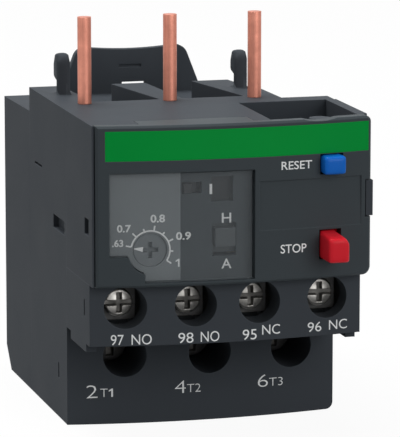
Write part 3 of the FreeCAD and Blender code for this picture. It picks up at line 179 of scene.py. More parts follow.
def effect_group(name: str, **inputs: object) -> NodeSheet:
    """Makes an empty shader group that takes the inputs and puts out colour, roughness, height and normal.

    Args:
        name: the group's name.
        **inputs: input name, with _ for a space, to its default number, or "colour" or "vector".

    Returns:
        The sheet of the group's tree.
    """
    kinds = {"colour": "NodeSocketColor", "vector": "NodeSocketVector"}
    tree = bpy.data.node_groups.new(name, "ShaderNodeTree")
    for label, default in inputs.items():
        kind = kinds.get(default, "NodeSocketFloat")
        socket = tree.interface.new_socket(label.replace("_", " "), in_out="INPUT", socket_type=kind)
        if default not in kinds:
            socket.default_value = default
    for label, kind in (("Colour", "NodeSocketColor"), ("Roughness", "NodeSocketFloat"),
                        ("Height", "NodeSocketFloat"), ("Normal", "NodeSocketVector")):
        tree.interface.new_socket(label, in_out="OUTPUT", socket_type=kind)
    return NodeSheet(tree)


def skin_group() -> bpy.types.NodeTree:
    """Builds the effect of a moulded skin: fine grain, faint mottling, softened edges and a painted highlight
    that makes the edges paler.

    The grain is a fine noise. The mottling is a coarse noise that shades the colour and changes
    the roughness a little. The edge mask is one minus the cosine between the true normal and the
    rounded normal, times a gain; it lightens the colour at edges as a painted highlight, and edges are a
    little smoother.

    Returns:
        The group's tree.
    """
    sheet = effect_group("moulded_skin", Colour="colour", Grain=4000.0, Mottling=0.1, Roughness=0.5,
                         Edge_Width=0.0002, Edge_Gleam=0.5)
    mottling_scale, mottled_roughness, edge_gain, edge_polish = 110.0, 0.16, 4.0, 0.1
    given = sheet.add("NodeGroupInput").outputs
    place = sheet.add("ShaderNodeTexCoord").outputs["Object"]
    grain = sheet.noise(place, given["Grain"], 3.0, 0.6)
    cloud = sheet.math("SUBTRACT", sheet.noise(place, mottling_scale, 4.0, 0.55), 0.5)
    rounded = sheet.add("ShaderNodeBevel", {"Radius": given["Edge Width"]}, samples=6).outputs["Normal"]
    true = sheet.add("ShaderNodeNewGeometry").outputs["Normal"]
    turned = sheet.math("SUBTRACT", 1.0, sheet.vector("DOT_PRODUCT", rounded, true))
    edge = sheet.math("MULTIPLY", turned, edge_gain, clamp=True)
    shade = sheet.math("MULTIPLY_ADD", cloud, given["Mottling"], 1.0)
    # painted highlight: the edge mask lightens the colour along the edges
    tone_and_painted_highlight = sheet.math("MULTIPLY_ADD", sheet.math("MULTIPLY", edge, given["Edge Gleam"]), shade, shade)
    rough = sheet.math("MULTIPLY_ADD", cloud, mottled_roughness, given["Roughness"])
    smoother = sheet.math("MULTIPLY_ADD", edge, -edge_polish, rough)
    sheet.add("NodeGroupOutput", {"Colour": sheet.vector("SCALE", given["Colour"], tone_and_painted_highlight),
                                  "Roughness": smoother, "Height": grain, "Normal": rounded})
    return sheet.tree


def metal_group() -> bpy.types.NodeTree:
    """Builds the effect of drawn or turned metal: streaks along one way, tarnish and softened edges.

    The streaks are a noise stretched by a vector. The tarnish is a coarse noise that darkens the
    colour and roughens the surface.

    Returns:
        The group's tree.
    """
    sheet = effect_group("worked_metal", Colour="colour", Stretch="vector", Tarnish=0.3, Roughness=0.3,
                         Edge_Width=0.0002)
    tarnish_scale, tarnish_gain, tarnish_start, tarnished_roughness = 420.0, 2.6, -0.9, 0.5
    streak_shade, streak_roughness = 0.35, 0.16
    given = sheet.add("NodeGroupInput").outputs
    place = sheet.add("ShaderNodeTexCoord").outputs["Object"]
    streak = sheet.noise(sheet.vector("MULTIPLY", place, given["Stretch"]), 1.0, 4.0, 0.6)
    cloud = sheet.noise(place, tarnish_scale, 4.0, 0.6)
    rounded = sheet.add("ShaderNodeBevel", {"Radius": given["Edge Width"]}, samples=6).outputs["Normal"]
    patches = sheet.math("MULTIPLY_ADD", cloud, tarnish_gain, tarnish_start, clamp=True)
    dull = sheet.math("MULTIPLY", patches, given["Tarnish"])
    clean = sheet.math("SUBTRACT", 1.0, dull)
    shade = sheet.math("MULTIPLY_ADD", sheet.math("SUBTRACT", streak, 0.5), streak_shade, clean)
    drawn_rough = sheet.math("MULTIPLY_ADD", streak, streak_roughness, given["Roughness"])
    rough = sheet.math("MULTIPLY_ADD", dull, tarnished_roughness, drawn_rough)
    sheet.add("NodeGroupOutput", {"Colour": sheet.vector("SCALE", given["Colour"], shade), "Roughness": rough,
                                  "Height": streak, "Normal": rounded})
    return sheet.tree


def modifier_group(name: str) -> tuple[NodeSheet, bpy.types.NodeSocket]:
    """Makes a group of geometry nodes that takes and gives one geometry.

    Args:
        name: the group's name.

    Returns:
        The sheet of the group's tree, and the socket of the geometry that comes in.
    """
    tree = bpy.data.node_groups.new(name, "GeometryNodeTree")
    for way in ("INPUT", "OUTPUT"):
        tree.interface.new_socket("Geometry", in_out=way, socket_type="NodeSocketGeometry")
    sheet = NodeSheet(tree)
    return sheet, sheet.add("NodeGroupInput").outputs[0]


def even_shading_group() -> bpy.types.NodeTree:
    """Builds the modifier that shades round faces smoothly and keeps edges over 30 degrees sharp.

    Returns:
        The geometry tree.
    """
    sheet, given = modifier_group("even_shading")
    merged = sheet.add("GeometryNodeMergeByDistance", {"Geometry": given, "Distance": 0.001 * MM})
    angle = sheet.add("GeometryNodeInputMeshEdgeAngle").outputs["Unsigned Angle"]
    gentle = sheet.add("FunctionNodeCompare", {0: angle, 1: math.radians(30.0)}, data_type="FLOAT",
                       operation="LESS_THAN")
    faces = sheet.add("GeometryNodeSetShadeSmooth", {"Geometry": merged.outputs[0]}, domain="FACE")
    edges = sheet.add("GeometryNodeSetShadeSmooth", {"Geometry": faces.outputs[0],
                                                     "Shade Smooth": gentle.outputs[0]}, domain="EDGE")
    sheet.add("NodeGroupOutput", {0: edges.outputs[0]})
    return sheet.tree


def marked_edges_group(height: float) -> bpy.types.NodeTree:
    """Builds the modifier that marks corners of over 25 degrees above a height for rounding.

    Args:
        height: the height, in metres.

    Returns:
        The geometry tree.
    """
    sheet, given = modifier_group("marked_edges")
    angle = sheet.add("GeometryNodeInputMeshEdgeAngle").outputs["Unsigned Angle"]
    place = sheet.add("GeometryNodeInputPosition").outputs["Position"]
    level = sheet.add("ShaderNodeSeparateXYZ", {"Vector": place}).outputs["Z"]
    bent = sheet.math("GREATER_THAN", angle, math.radians(25.0))
    weight = sheet.math("MULTIPLY", bent, sheet.math("GREATER_THAN", level, height))
    marked = sheet.add("GeometryNodeStoreNamedAttribute", {"Geometry": given, "Name": "bevel_weight_edge",
                                                           "Value": weight}, data_type="FLOAT", domain="EDGE")
    sheet.add("NodeGroupOutput", {0: marked.outputs[0]})
    return sheet.tree


class Effects:
    """The shared groups, each built once."""

    def __init__(self) -> None:
        """Builds the groups."""
        self.skin = skin_group()
        self.metal = metal_group()
        self.shading = even_shading_group()


# ---- Finishes ----
def new_material(name: str) -> tuple[bpy.types.Material, NodeSheet]:
    """Makes a material with an empty sheet.

    Args:
        name: the material's name.

    Returns:
        The material and its sheet.
    """
    material = bpy.data.materials.new(name)
    material.use_nodes = True
    return material, NodeSheet(material.node_tree)


@dataclass(frozen=True)
class Moulded:
    """Moulded plastic, opaque or clear.

    The colour is linear. Grain is in features per metre, the depths are in metres.
    """

    name: str
    colour: Colour
    roughness: float = 0.45
    grain: float = 5200.0
    grain_depth: float = 0.00002
    mottling: float = 0.12
    edge_width: float = 0.00022
    # painted highlight: share by which the colour of the edges is lightened
    painted_edge_highlight: float = 0.6
    coat: float = 0.0
    alpha: float = 1.0
    specular: float = 0.12

    def material(self, effects: Effects) -> bpy.types.Material:
        """Builds the material.

        Args:
            effects: the shared groups.

        Returns:
            The material.
        """
        material, sheet = new_material(self.name)
        skin = sheet.add("ShaderNodeGroup",
                         {"Colour": self.colour, "Grain": self.grain, "Mottling": self.mottling,
                          "Roughness": self.roughness, "Edge Width": self.edge_width,
                          "Edge Gleam": self.painted_edge_highlight}, node_tree=effects.skin).outputs
        bump = sheet.add("ShaderNodeBump", {"Height": skin["Height"], "Normal": skin["Normal"],
                                            "Strength": 0.5, "Distance": self.grain_depth})
        shader = sheet.add("ShaderNodeBsdfPrincipled",
                           {"Base Color": skin["Colour"], "Roughness": skin["Roughness"],
                            "Normal": bump.outputs["Normal"], "Coat Weight": self.coat,
                            "Coat Roughness": 0.12, "Alpha": self.alpha, "Specular IOR Level": self.specular})
        sheet.add("ShaderNodeOutputMaterial", {"Surface": shader.outputs[0]})
        return material


@dataclass(frozen=True)
class Metal:
    """Drawn, stamped or turned metal. Stretch is the noise's features per metre along X, Y and Z."""

    name: str
    colour: Colour
    roughness: float = 0.3
    stretch: tuple[float, float, float] = (3000.0, 3000.0, 3000.0)
    tarnish: float = 0.25
    edge_width: float = 0.0002
    streak_depth: float = 0.00001

    def material(self, effects: Effects) -> bpy.types.Material:
        """Builds the material.

        Args:
            effects: the shared groups.

        Returns:
            The material.
        """
        material, sheet = new_material(self.name)
        work = sheet.add("ShaderNodeGroup",
                         {"Colour": self.colour, "Stretch": self.stretch, "Tarnish": self.tarnish,
                          "Roughness": self.roughness, "Edge Width": self.edge_width},
                         node_tree=effects.metal).outputs
        bump = sheet.add("ShaderNodeBump", {"Height": work["Height"], "Normal": work["Normal"],
                                            "Strength": 0.4, "Distance": self.streak_depth})
        shader = sheet.add("ShaderNodeBsdfPrincipled",
                           {"Base Color": work["Colour"], "Roughness": work["Roughness"], "Metallic": 1.0,
                            "Normal": bump.outputs["Normal"]})
        sheet.add("ShaderNodeOutputMaterial", {"Surface": shader.outputs[0]})
        return material


class Finish(Enum):
    """The relay's finishes."""

    # painted highlight: each moulding's edge highlight share lightens the colour of its edges
    HOUSING = Moulded("housing_moulding", (0.057, 0.065, 0.075), roughness=0.55, specular=0.02)
    FRONT = Moulded("fascia_moulding", (0.051, 0.062, 0.069), roughness=0.5, grain_depth=0.000012,
                    specular=0.06)
    BAND = Moulded("green_inlay", (0.001, 0.3, 0.045), roughness=0.4, grain_depth=0.000006, painted_edge_highlight=0.2,
                   specular=0.05)
    SCALE = Moulded("scale_plate_grey", (0.2, 0.223, 0.233), roughness=0.55, grain_depth=0.000006)
    COVER = Moulded("smoked_cover", (0.3, 0.33, 0.35), roughness=0.3, grain_depth=0.000001,
                    mottling=0.04, painted_edge_highlight=0.3, alpha=0.13)
    DIAL = Moulded("dial_grey", (0.165, 0.184, 0.194), roughness=0.5, grain_depth=0.000006)
    SLIDE = Moulded("slide_grey", (0.075, 0.085, 0.09), roughness=0.5, grain_depth=0.000006)
    RESET = Moulded("reset_blue", (0.004, 0.14, 0.6), roughness=0.36, grain_depth=0.000004, coat=0.1,
                    edge_width=0.0006, painted_edge_highlight=0.5, specular=0.08)
    STOP = Moulded("stop_red", (0.74, 0.014, 0.028), roughness=0.36, grain_depth=0.000004, coat=0.1,
                   edge_width=0.0006, painted_edge_highlight=0.5, specular=0.08)
    INNER = Moulded("natural_moulding", (0.34, 0.32, 0.27), roughness=0.5)
    # near-black moulding of the contact carrier; on the test slider it is painted shade of its slot
    CARRIER_AND_SLOT_SHADE = Moulded("dark_moulding_and_painted_slot_shade", (0.03, 0.03, 0.032), roughness=0.5)
    INK = Moulded("white_print", (0.93, 0.95, 0.95), roughness=0.6, grain=9000.0, mottling=0.2,
                  edge_width=0.00002, painted_edge_highlight=0.0)
    COPPER = Metal("drawn_copper", (0.62, 0.255, 0.185), roughness=0.36, stretch=(5200.0, 5200.0, 90.0),
                   tarnish=0.2)
    CONTACT = Metal("stamped_brass", (0.62, 0.49, 0.24), roughness=0.35)
    SCREW = Metal("plated_screw", (0.57, 0.555, 0.525), roughness=0.26, stretch=(2600.0, 400.0, 2600.0),
                  tarnish=0.5)
    # painted shade: plated screw darkened as if deep in the shade of its well
    SCREW_IN_WELL_SHADE = Metal("screw_with_painted_well_shade", (0.12, 0.12, 0.12), roughness=0.34, stretch=(2600.0, 400.0, 2600.0),
                       tarnish=0.4)
    # painted shade: darker colour for the faces inside the screw recesses
    RECESS_SHADE = Metal("painted_recess_shade", (0.2, 0.195, 0.185), roughness=0.5, tarnish=0.5)
    CLAMP = Metal("dark_clamp", (0.09, 0.09, 0.09), roughness=0.42, tarnish=0.3)
    BIMETAL = Metal("rolled_bimetal", (0.5, 0.45, 0.4), roughness=0.3, stretch=(3000.0, 3000.0, 60.0))
    WINDING = Metal("heater_wire", (0.36, 0.34, 0.32), roughness=0.42, tarnish=0.5)
    SPRING = Metal("spring_wire", (0.42, 0.42, 0.41), roughness=0.28)


class Workshop:
    """Hands out materials and puts pieces on their bodies."""

    def __init__(self) -> None:
        """Builds the effects and an empty shelf."""
        self.effects = Effects()
        self.shelf: dict[Finish, bpy.types.Material] = {}

    def finish(self, which: Finish) -> bpy.types.Material:
        """Gives the material of a finish, built at its first use.

        Args:
            which: the finish.

        Returns:
            The material.
        """
        if which not in self.shelf:
            self.shelf[which] = which.value.material(self.effects)
        return self.shelf[which]

    def dress(self, which: Finish, *nodes: str) -> None:
        """Gives solids a finish and even shading.

        Args:
            which: the finish.
            *nodes: names of the solids.
        """
        for name in nodes:
            solid = frame["nodes"][name]
            for slot in solid.material_slots:
                slot.material = self.finish(which)
            modifier = solid.modifiers.new("even_shading", "NODES")
            modifier.node_group = self.effects.shading
            LOG.info("%s in %s", name, which.value.name)

    def soften(self, width: float, above: float, node: str) -> None:
        """Rounds the upper corners of a dressed solid.

        Args:
            width: the rounding's width.
            above: height over which corners are rounded.
            node: the solid's name.
        """
        solid = frame["nodes"][node]
        marks = solid.modifiers.new("marked_edges", "NODES")
        marks.node_group = marked_edges_group(above)
        bevel = solid.modifiers.new("soft_edges", "BEVEL")
        bevel.width = width
        bevel.segments = 3
        bevel.limit_method = "WEIGHT"
        again = solid.modifiers.new("even_shading_again", "NODES")
        again.node_group = self.effects.shading

    def polish(self, grid: float, passes: int, *nodes: str) -> None:
        """Rounds every corner of dressed solids, as tumbled or worn mouldings are.

        Args:
            grid: spacing of the even grid that the surface is laid on.
            passes: times that the grid is evened out; more passes round the corners further.
            *nodes: names of the solids.
        """
        for name in nodes:
            solid = frame["nodes"][name]
            even = solid.modifiers.new("even_grid", "REMESH")
            even.mode = "VOXEL"
            even.voxel_size = grid
            even.use_smooth_shade = True
            worn = solid.modifiers.new("worn_corners", "SMOOTH")
            worn.factor = 0.5
            worn.iterations = passes

    def place(self, piece: bpy.types.Object, which: Finish, body: str, slot: str) -> bpy.types.Object:
        """Finishes a new piece and puts it on a body.

        Args:
            piece: the new object.
            which: its finish.
            body: the body that it rides on.
            slot: the record's material slot; not used.

        Returns:
            The piece.
        """
        piece.data.materials.clear()
        piece.data.materials.append(self.finish(which))
        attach(piece, body)
        LOG.info("%s made for %s, %d faces", piece.name, body, len(piece.data.polygons))
        return piece


# ---- Surfaces ----
def mesh_piece(name: str, points: np.ndarray, faces: Faces, sharp: float = 35.0) -> bpy.types.Object:
    """Makes an object of points and faces, shaded smoothly but for its sharp edges.

    Args:
        name: the object's name.
        points: N x 3 places.
        faces: corner numbers of each face.
        sharp: angle in degrees above which an edge stays sharp.

    Returns:
        The object, linked to the scene.
    """
    mesh = bpy.data.meshes.new(name)
    mesh.from_pydata(points.tolist(), [], faces)
    mesh.update()
    mesh.shade_smooth()
    mesh.set_sharp_from_angle(angle=math.radians(sharp))
    piece = bpy.data.objects.new(name, mesh)
    bpy.context.scene.collection.objects.link(piece)
    return piece


def grid_faces(rows: int, columns: int, wrap: bool, first: int = 0) -> Faces:
    """Gives the faces of a grid of points kept row by row.

    Args:
        rows: number of rows.
        columns: number of points in a row.
        wrap: True where a row closes on itself.
        first: number of the grid's first point.

    Returns:
        Four corner numbers per face.
    """
    spans = columns if wrap else columns - 1
    row, column = np.meshgrid(np.arange(rows - 1), np.arange(spans), indexing="ij")
    after = (column + 1) % columns
    corners = (row * columns + column, row * columns + after, (row + 1) * columns + after,
               (row + 1) * columns + column)
    return (np.stack(corners, axis=-1).reshape(-1, 4) + first).tolist()


def cap_fan(centre: int, ring: np.ndarray) -> Faces:
    """Gives the triangles between a ring of points and its middle point.

    Args:
        centre: number of the middle point.
        ring: numbers of the ring's points, in order.

    Returns:
        Three corner numbers per face.
    """
    return np.stack((np.full(len(ring), centre), ring, np.roll(ring, -1)), axis=-1).tolist()


def swept_tube(path: np.ndarray, radius: float, sides: int) -> Shape:
    """Works out a round wire along a path.

    Each ring stands square to the path. Its first axis is the path's direction crossed with Z,
    and its second is the direction crossed with the first. Both ends are closed with a fan.

    Args:
        path: N x 3 points.
        radius: the wire's radius.
        sides: points round the wire.

    Returns:
        The points and the faces.
    """
    along = np.gradient(path, axis=0)
    along /= np.linalg.norm(along, axis=1, keepdims=True)
    side = np.cross(along, (0.0, 0.0, 1.0))
    side /= np.linalg.norm(side, axis=1, keepdims=True)
    up = np.cross(along, side)
    turn = np.linspace(0.0, 2.0 * math.pi, sides, endpoint=False)
    ring = side[:, None] * np.cos(turn)[None, :, None] + up[:, None] * np.sin(turn)[None, :, None]
    points = (path[:, None] + radius * ring).reshape(-1, 3)
    last = (len(path) - 1) * sides
    points = np.vstack((points, path[:1], path[-1:]))
    faces = grid_faces(len(path), sides, True)
    faces += cap_fan(len(points) - 2, np.arange(sides)[::-1])
    faces += cap_fan(len(points) - 1, np.arange(sides) + last)
    return points, faces


@dataclass(frozen=True)
class SwollenFront:
    """A front that bows forward in plan: an arc through both corners with a given rise."""

    corner: float
    rise: float = FRONT_RISE
    left: float = -22.5 * MM
    right: float = 22.2 * MM

    def depth(self, x: np.ndarray, sink: float = 0.0) -> np.ndarray:
        """Gives the front's Y: the corner's less the arc's height over its chord.

        Args:
            x: places across the front.
            sink: depth below the surface.

        Returns:
            The Y of each place.
        """
        half = (self.right - self.left) / 2.0
        middle = (self.right + self.left) / 2.0
        radius = (half ** 2 + self.rise ** 2) / (2.0 * self.rise)
        height = self.rise - radius + np.sqrt(radius ** 2 - (x - middle) ** 2)
        return self.corner - height + sink


# ---- Lettering ----
@dataclass(frozen=True)
class Mark:
    """A printed word: its left and right ends, its foot and its height, in millimetres."""

    text: str
    left: float
    right: float
    foot: float
    height: float


@dataclass
class PrintedBoard:
    """White print on a bowed front."""

    name: str
    front: SwollenFront
    body: str
    slot: str
    sink: float = 0.0
    marks: tuple[Mark, ...] = ()
    ink_depth: float = 0.03 * MM
    boldness: float = 0.008

    def word(self, mark: Mark) -> Shape:
        """Works out one word: the font's outline filled, thickened, then scaled to its place.

        Args:
            mark: the word.

        Returns:
            The points, with Y as depth over the surface, and the faces.
        """
        curve = bpy.data.curves.new(mark.text, "FONT")
        curve.body = mark.text
        curve.extrude = 0.5
        curve.offset = self.boldness
        curve.resolution_u = 4
        source = bpy.data.objects.new(mark.text, curve)
        mesh = bpy.data.meshes.new_from_object(source)
        points = np.empty(len(mesh.vertices) * 3)
        mesh.vertices.foreach_get("co", points)
        points = points.reshape(-1, 3)
        faces = [list(polygon.vertices) for polygon in mesh.polygons]
        low = points.min(axis=0)
        span = points.max(axis=0) - low
        across = mark.left + (points[:, 0] - low[0]) / span[0] * (mark.right - mark.left)
        upward = mark.foot + (points[:, 1] - low[1]) / span[1] * mark.height
        lift = (points[:, 2] - low[2]) / span[2]
        bpy.data.objects.remove(source)
        bpy.data.curves.remove(curve)
        bpy.data.meshes.remove(mesh)
        return np.stack((across * MM, lift, upward * MM), axis=-1), faces

    def one(self, mark: Mark) -> Shape:
        """Works out a figure one, which the font has as a plain bar: an upright with a flag.

        Args:
            mark: the figure's place.

        Returns:
            The points and the faces of a closed outline, the same way as word().
        """
        stem = 0.2 * mark.height
        top = mark.foot + mark.height
        flag_top, crotch, flag_low = (top - share * mark.height for share in (0.22, 0.24, 0.38))
        outline = np.array(((mark.right - stem, mark.foot), (mark.right, mark.foot), (mark.right, top),
                            (mark.right - 0.75 * stem, top), (mark.left, flag_top), (mark.left, flag_low),
                            (mark.right - stem, crotch)))
        count = len(outline)
        back, face = (np.insert(outline * MM, 1, lift, axis=1) for lift in (0.0, 1.0))
        ring = list(range(count))
        sides = [[i, (i + 1) % count, (i + 1) % count + count, i + count] for i in ring]
        return np.vstack((back, face)), [ring[::-1], [i + count for i in ring]] + sides

    def strokes(self) -> list[Shape]:
        """Gives further printed shapes, in the form that word() gives: none on a plain board."""
        return []

    def build(self, shop: Workshop, ink: Finish) -> bpy.types.Object:
        """Makes all the print as one piece laid on the front.

        Args:
            shop: the workshop.
            ink: the print's finish.

        Returns:
            The piece.
        """
        points: list[np.ndarray] = []
        faces: Faces = []
        words = [self.one(mark) if mark.text == "1" else self.word(mark) for mark in self.marks]
        for shape, corners in words + self.strokes():
            first = sum(len(block) for block in points)
            faces += [[first + corner for corner in face] for face in corners]
            points.append(shape)
        print_points = np.vstack(points)
        lift = print_points[:, 1].copy()
        print_points[:, 1] = self.front.depth(print_points[:, 0], self.sink) - self.ink_depth * (lift + 0.1)
        piece = mesh_piece(self.name, print_points, faces)
        return shop.place(piece, ink, self.body, self.slot)


@dataclass
class DialScale(PrintedBoard):
    """Print round the current dial: an arc with ticks, figures outside it, in millimetres and degrees."""

    centre_x: float = -13.4
    centre_z: float = 31.3
    boldness: float = 0.025
    radius: float = 3.02
    start: float = 169.0
    stop: float = -34.0
    stroke: float = 0.24
    long_ticks: tuple[float, ...] = (169.0, 136.0, 80.0, 25.0, -34.0)
    short_ticks: tuple[float, ...] = (108.0, 52.0, -4.0)
    long_tick: float = 0.85
    short_tick: float = 0.5
    arc_points: int = 49

    @property
    def middle(self) -> np.ndarray:
        """Gives the dial's middle, across and up."""
        return np.array((self.centre_x, self.centre_z))

    def bar(self, start: np.ndarray, end: np.ndarray) -> Shape:
        """Works out a thick band between two rows of points in the plane of the print.

        Args:
            start: N x 2 points of one edge.
            end: N x 2 points of the other edge.

        Returns:
            The points and the faces of a closed band.
        """
        count = len(start)
        rows = [np.stack((edge[:, 0] * MM, np.full(count, lift), edge[:, 1] * MM), axis=-1)
                for edge, lift in ((start, 0.0), (start, 1.0), (end, 1.0), (end, 0.0))]
        faces = grid_faces(4, count, False)
        closing = [[3 * count + i, 3 * count + i + 1, i + 1, i] for i in range(count - 1)]
        ends = [[0, count, 2 * count, 3 * count][::-1],
                [count - 1, 2 * count - 1, 3 * count - 1, 4 * count - 1]]
        return np.vstack(rows), faces + closing + ends

    def ray(self, angle: float, inner: float, outer: float) -> Shape:
        """Works out a tick: a band of one stroke's width along a radius.

        Args:
            angle: degrees above the dial's right side.
            inner: radius of its inner end.
            outer: radius of its outer end.

        Returns:
            The points and the faces.
        """
        turn = math.radians(angle)
        out = np.array((math.cos(turn), math.sin(turn)))
        side = np.array((-out[1], out[0])) * self.stroke / 2.0
        ends = np.stack((self.middle + out * inner, self.middle + out * outer))
        return self.bar(ends + side, ends - side)

    def strokes(self) -> list[Shape]:
        """Gives the arc and its ticks.

        Returns:
            The shapes.
        """
        turn = np.radians(np.linspace(self.start, self.stop, self.arc_points))
        out = np.stack((np.cos(turn), np.sin(turn)), axis=-1)
        arc = self.bar(self.middle + out * (self.radius + self.stroke / 2.0),
                       self.middle + out * (self.radius - self.stroke / 2.0))
        ticks = [(angle, self.long_tick) for angle in self.long_ticks]
        ticks += [(angle, self.short_tick) for angle in self.short_ticks]
        return [arc] + [self.ray(angle, self.radius, self.radius + length) for angle, length in ticks]


@dataclass
class DialPointer(DialScale):
    """White wedge near the dial's rim, its tip outward at the setting."""

    tip: float = 2.6
    heel: float = 1.2
    tip_half: float = 0.08
    heel_half: float = 0.38
    lead: float = 4.0

    def strokes(self) -> list[Shape]:
        """Gives the wedge: a band between two edges that near each other towards the tip.

        Returns:
            One shape.
        """
        turn = math.radians(self.start + self.lead)
        out = np.array((math.cos(turn), math.sin(turn)))
        side = np.array((-out[1], out[0]))
        spine = self.middle + out * np.array((self.tip, self.heel))[:, None]
        half = side * np.array((self.tip_half, self.heel_half))[:, None]
        return [self.bar(spine + half, spine - half)]


# ---- Turned pieces ----
@dataclass
class TerminalScrew:
    """Pan head screw with a slot, a short cross and a rolled thread, in place of its plain solid.

    The slot's share and the cross's reach are parts of the head's radius.
    """

    node: str
    finish: Finish
    head_height: float
    shank: float
    crown: float = 0.3 * MM
    shoulder: float = 0.45 * MM
    slot_share: float = 0.2
    cross_reach: float = 0.72
    recess: float = 1.15 * MM
    flank: float = 0.1 * MM
    rim: float = 0.1 * MM
    point: float = 0.35 * MM
    pitch: float = 0.7 * MM
    thread: float = 0.22 * MM
    rings_per_turn: int = 8
    sides: int = 144

    def profile(self, head: float, face: float, tip: float) -> tuple[np.ndarray, np.ndarray, int, int]:
        """Works out the outline from the head's middle to the tip.

        The crown is a parabola and the shoulder a quarter of an ellipse. The rim's bevel, the
        shank's even rings and the point follow.

        Args:
            head: the head's radius.
            face: Y of the head's middle.
            tip: Y of the tip.

        Returns:
            The radii, their depths, the number of rows on the head's top, and the number of the
            shank's rings.
        """
        flat = np.linspace(0.0, head - self.shoulder, 40)
        bend = np.linspace(0.0, math.pi / 2.0, 9)[1:]
        crown = face + self.crown * (flat / (head - self.shoulder)) ** 2
        over = head - self.shoulder + self.shoulder * np.sin(bend)
        down = face + self.crown + self.shoulder * (1.0 - np.cos(bend))
        under = face + self.head_height
        rings = int((tip - under) / (self.pitch / self.rings_per_turn))
        run = np.linspace(under, tip - self.point, rings)
        radii = np.concatenate((flat, over, [head, head - self.rim], np.full(rings, self.shank),
                                [self.shank - self.point, 0.0]))
        depths = np.concatenate((crown, down, [under - self.rim, under], run, [tip, tip]))
        return radii, depths, len(flat) + len(over), rings

    def sunk(self, x: np.ndarray, z: np.ndarray, head: float) -> np.ndarray:
        """Gives how far the recess is cut: 1 inside the slot or the cross, falling to 0 over a flank.

        Args:
            x: places across the head.
            z: places up the head.
            head: the head's radius.

        Returns:
            The share of the recess's depth at each place.
        """
        half = head * self.slot_share
        in_slot = np.clip((half - np.abs(z)) / self.flank, 0.0, 1.0)
        in_cross = np.minimum(np.clip((half - np.abs(x)) / self.flank, 0.0, 1.0),
                              np.clip((head * self.cross_reach - np.abs(z)) / self.flank, 0.0, 1.0))
        return np.maximum(in_slot, in_cross)

    def build(self, shop: Workshop) -> bpy.types.Object:
        """Makes the screw: its profile turned about its axis.

        The thread takes depth off the shank's radius as a triangle wave that climbs one pitch per
        turn. The recess pushes the crown back to its floor, and its faces take a darker finish as painted
        shade.

        Args:
            shop: the workshop.

        Returns:
            The piece.
        """
        low, high = (np.array(corner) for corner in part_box(self.node))
        head = (high[0] - low[0]) / 2.0
        middle = (low + high) / 2.0
        face = low[1]
        radii, depths, top_rows, rings = self.profile(head, face, high[1])
        turn = np.linspace(0.0, 2.0 * math.pi, self.sides, endpoint=False)
        radius = np.repeat(radii[1:-1, None], self.sides, axis=1)
        depth = np.repeat(depths[1:-1, None], self.sides, axis=1)
        threaded = slice(top_rows + 1, top_rows + rings)
        phase = (depth[threaded] - face) / self.pitch - turn[None, :] / (2.0 * math.pi)
        radius[threaded] -= self.thread * np.abs(2.0 * (phase % 1.0) - 1.0)
        x = radius * np.cos(turn)
        z = radius * np.sin(turn)
        top = slice(0, top_rows - 1)
        sunk = self.sunk(x[top], z[top], head)
        floor = face + self.recess
        depth[top] += np.maximum(floor - depth[top], 0.0) * sunk
        ring = np.stack((x + middle[0], depth, z + middle[2]), axis=-1).reshape(-1, 3)
        ends = ([middle[0], floor, middle[2]], [middle[0], high[1], middle[2]])
        points = np.vstack((ring, ends))
        faces = grid_faces(len(radii) - 2, self.sides, True)
        faces += cap_fan(len(points) - 2, np.arange(self.sides)[::-1])
        faces += cap_fan(len(points) - 1, np.arange(self.sides) + (len(radii) - 3) * self.sides)
        piece = mesh_piece(self.node + "_threaded", points, faces, sharp=40.0)
        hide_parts(self.node)
        shop.place(piece, self.finish, self.node, "steel")
        # painted shade: the faces of the recess and its floor take the darker recess finish
        piece.data.materials.append(shop.finish(Finish.RECESS_SHADE))
        painted_shade_faces = np.zeros(len(faces), bool)
        cut = sunk[:-1].ravel() > 0.5
        painted_shade_faces[:len(cut)] = cut
        painted_shade_faces[-2 * self.sides:-self.sides] = True
        piece.data.polygons.foreach_set("material_index", painted_shade_faces.astype(np.int32))
        return piece


@dataclass
class ReturnSpring:
    """Round wire compression spring with closed ends, in place of its plain solid.

    A button's spring lies along Y. The carrier's stands along Z.
    """

    node: str
    joint: str
    axis: int
    anchor: float
    keep: float
    wire: float = 0.17 * MM
    turns: int = 5
    closed_turns: float = 0.8
    closed_rise: float = 0.06
    steps_per_turn: int = 28
    sides: int = 8

    def build(self, shop: Workshop) -> bpy.types.Object:
        """Makes the spring: a helix that rises slowly over its closed turns and evenly between them.

        Args:
            shop: the workshop.

        Returns:
            The piece.
        """
        low, high = (np.array(corner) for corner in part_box(self.node))
        middle = (low + high) / 2.0
        radius = (high[0] - low[0]) / 2.0 - self.wire
        share = np.linspace(0.0, 1.0, self.turns * self.steps_per_turn + 1)
        open_turns = self.turns - 2.0 * self.closed_turns
        rise = np.clip((share * self.turns - self.closed_turns) / open_turns, 0.0, 1.0)
        rise = (1.0 - self.closed_rise) * rise + self.closed_rise * share
        length = high[self.axis] - low[self.axis] - 2.0 * self.wire
        turn = share * self.turns * 2.0 * math.pi
        cross = [i for i in range(3) if i != self.axis]
        path = np.empty((len(share), 3))
        path[:, self.axis] = low[self.axis] + self.wire + rise * length
        path[:, cross[0]] = middle[cross[0]] + radius * np.cos(turn)
        path[:, cross[1]] = middle[cross[1]] + radius * np.sin(turn)
        if self.axis == 1:
            tube, faces = swept_tube(path[:, (0, 2, 1)], self.wire, self.sides)
            points = tube[:, (0, 2, 1)]
            faces = [face[::-1] for face in faces]
        else:
            points, faces = swept_tube(path, self.wire, self.sides)
        piece = mesh_piece(self.node + "_wire", points, faces)
        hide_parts(self.node)
        shop.place(piece, Finish.SPRING, "base", "spring")
        anchor = middle.copy()
        anchor[self.axis] = self.anchor
        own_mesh(piece)
        return piece


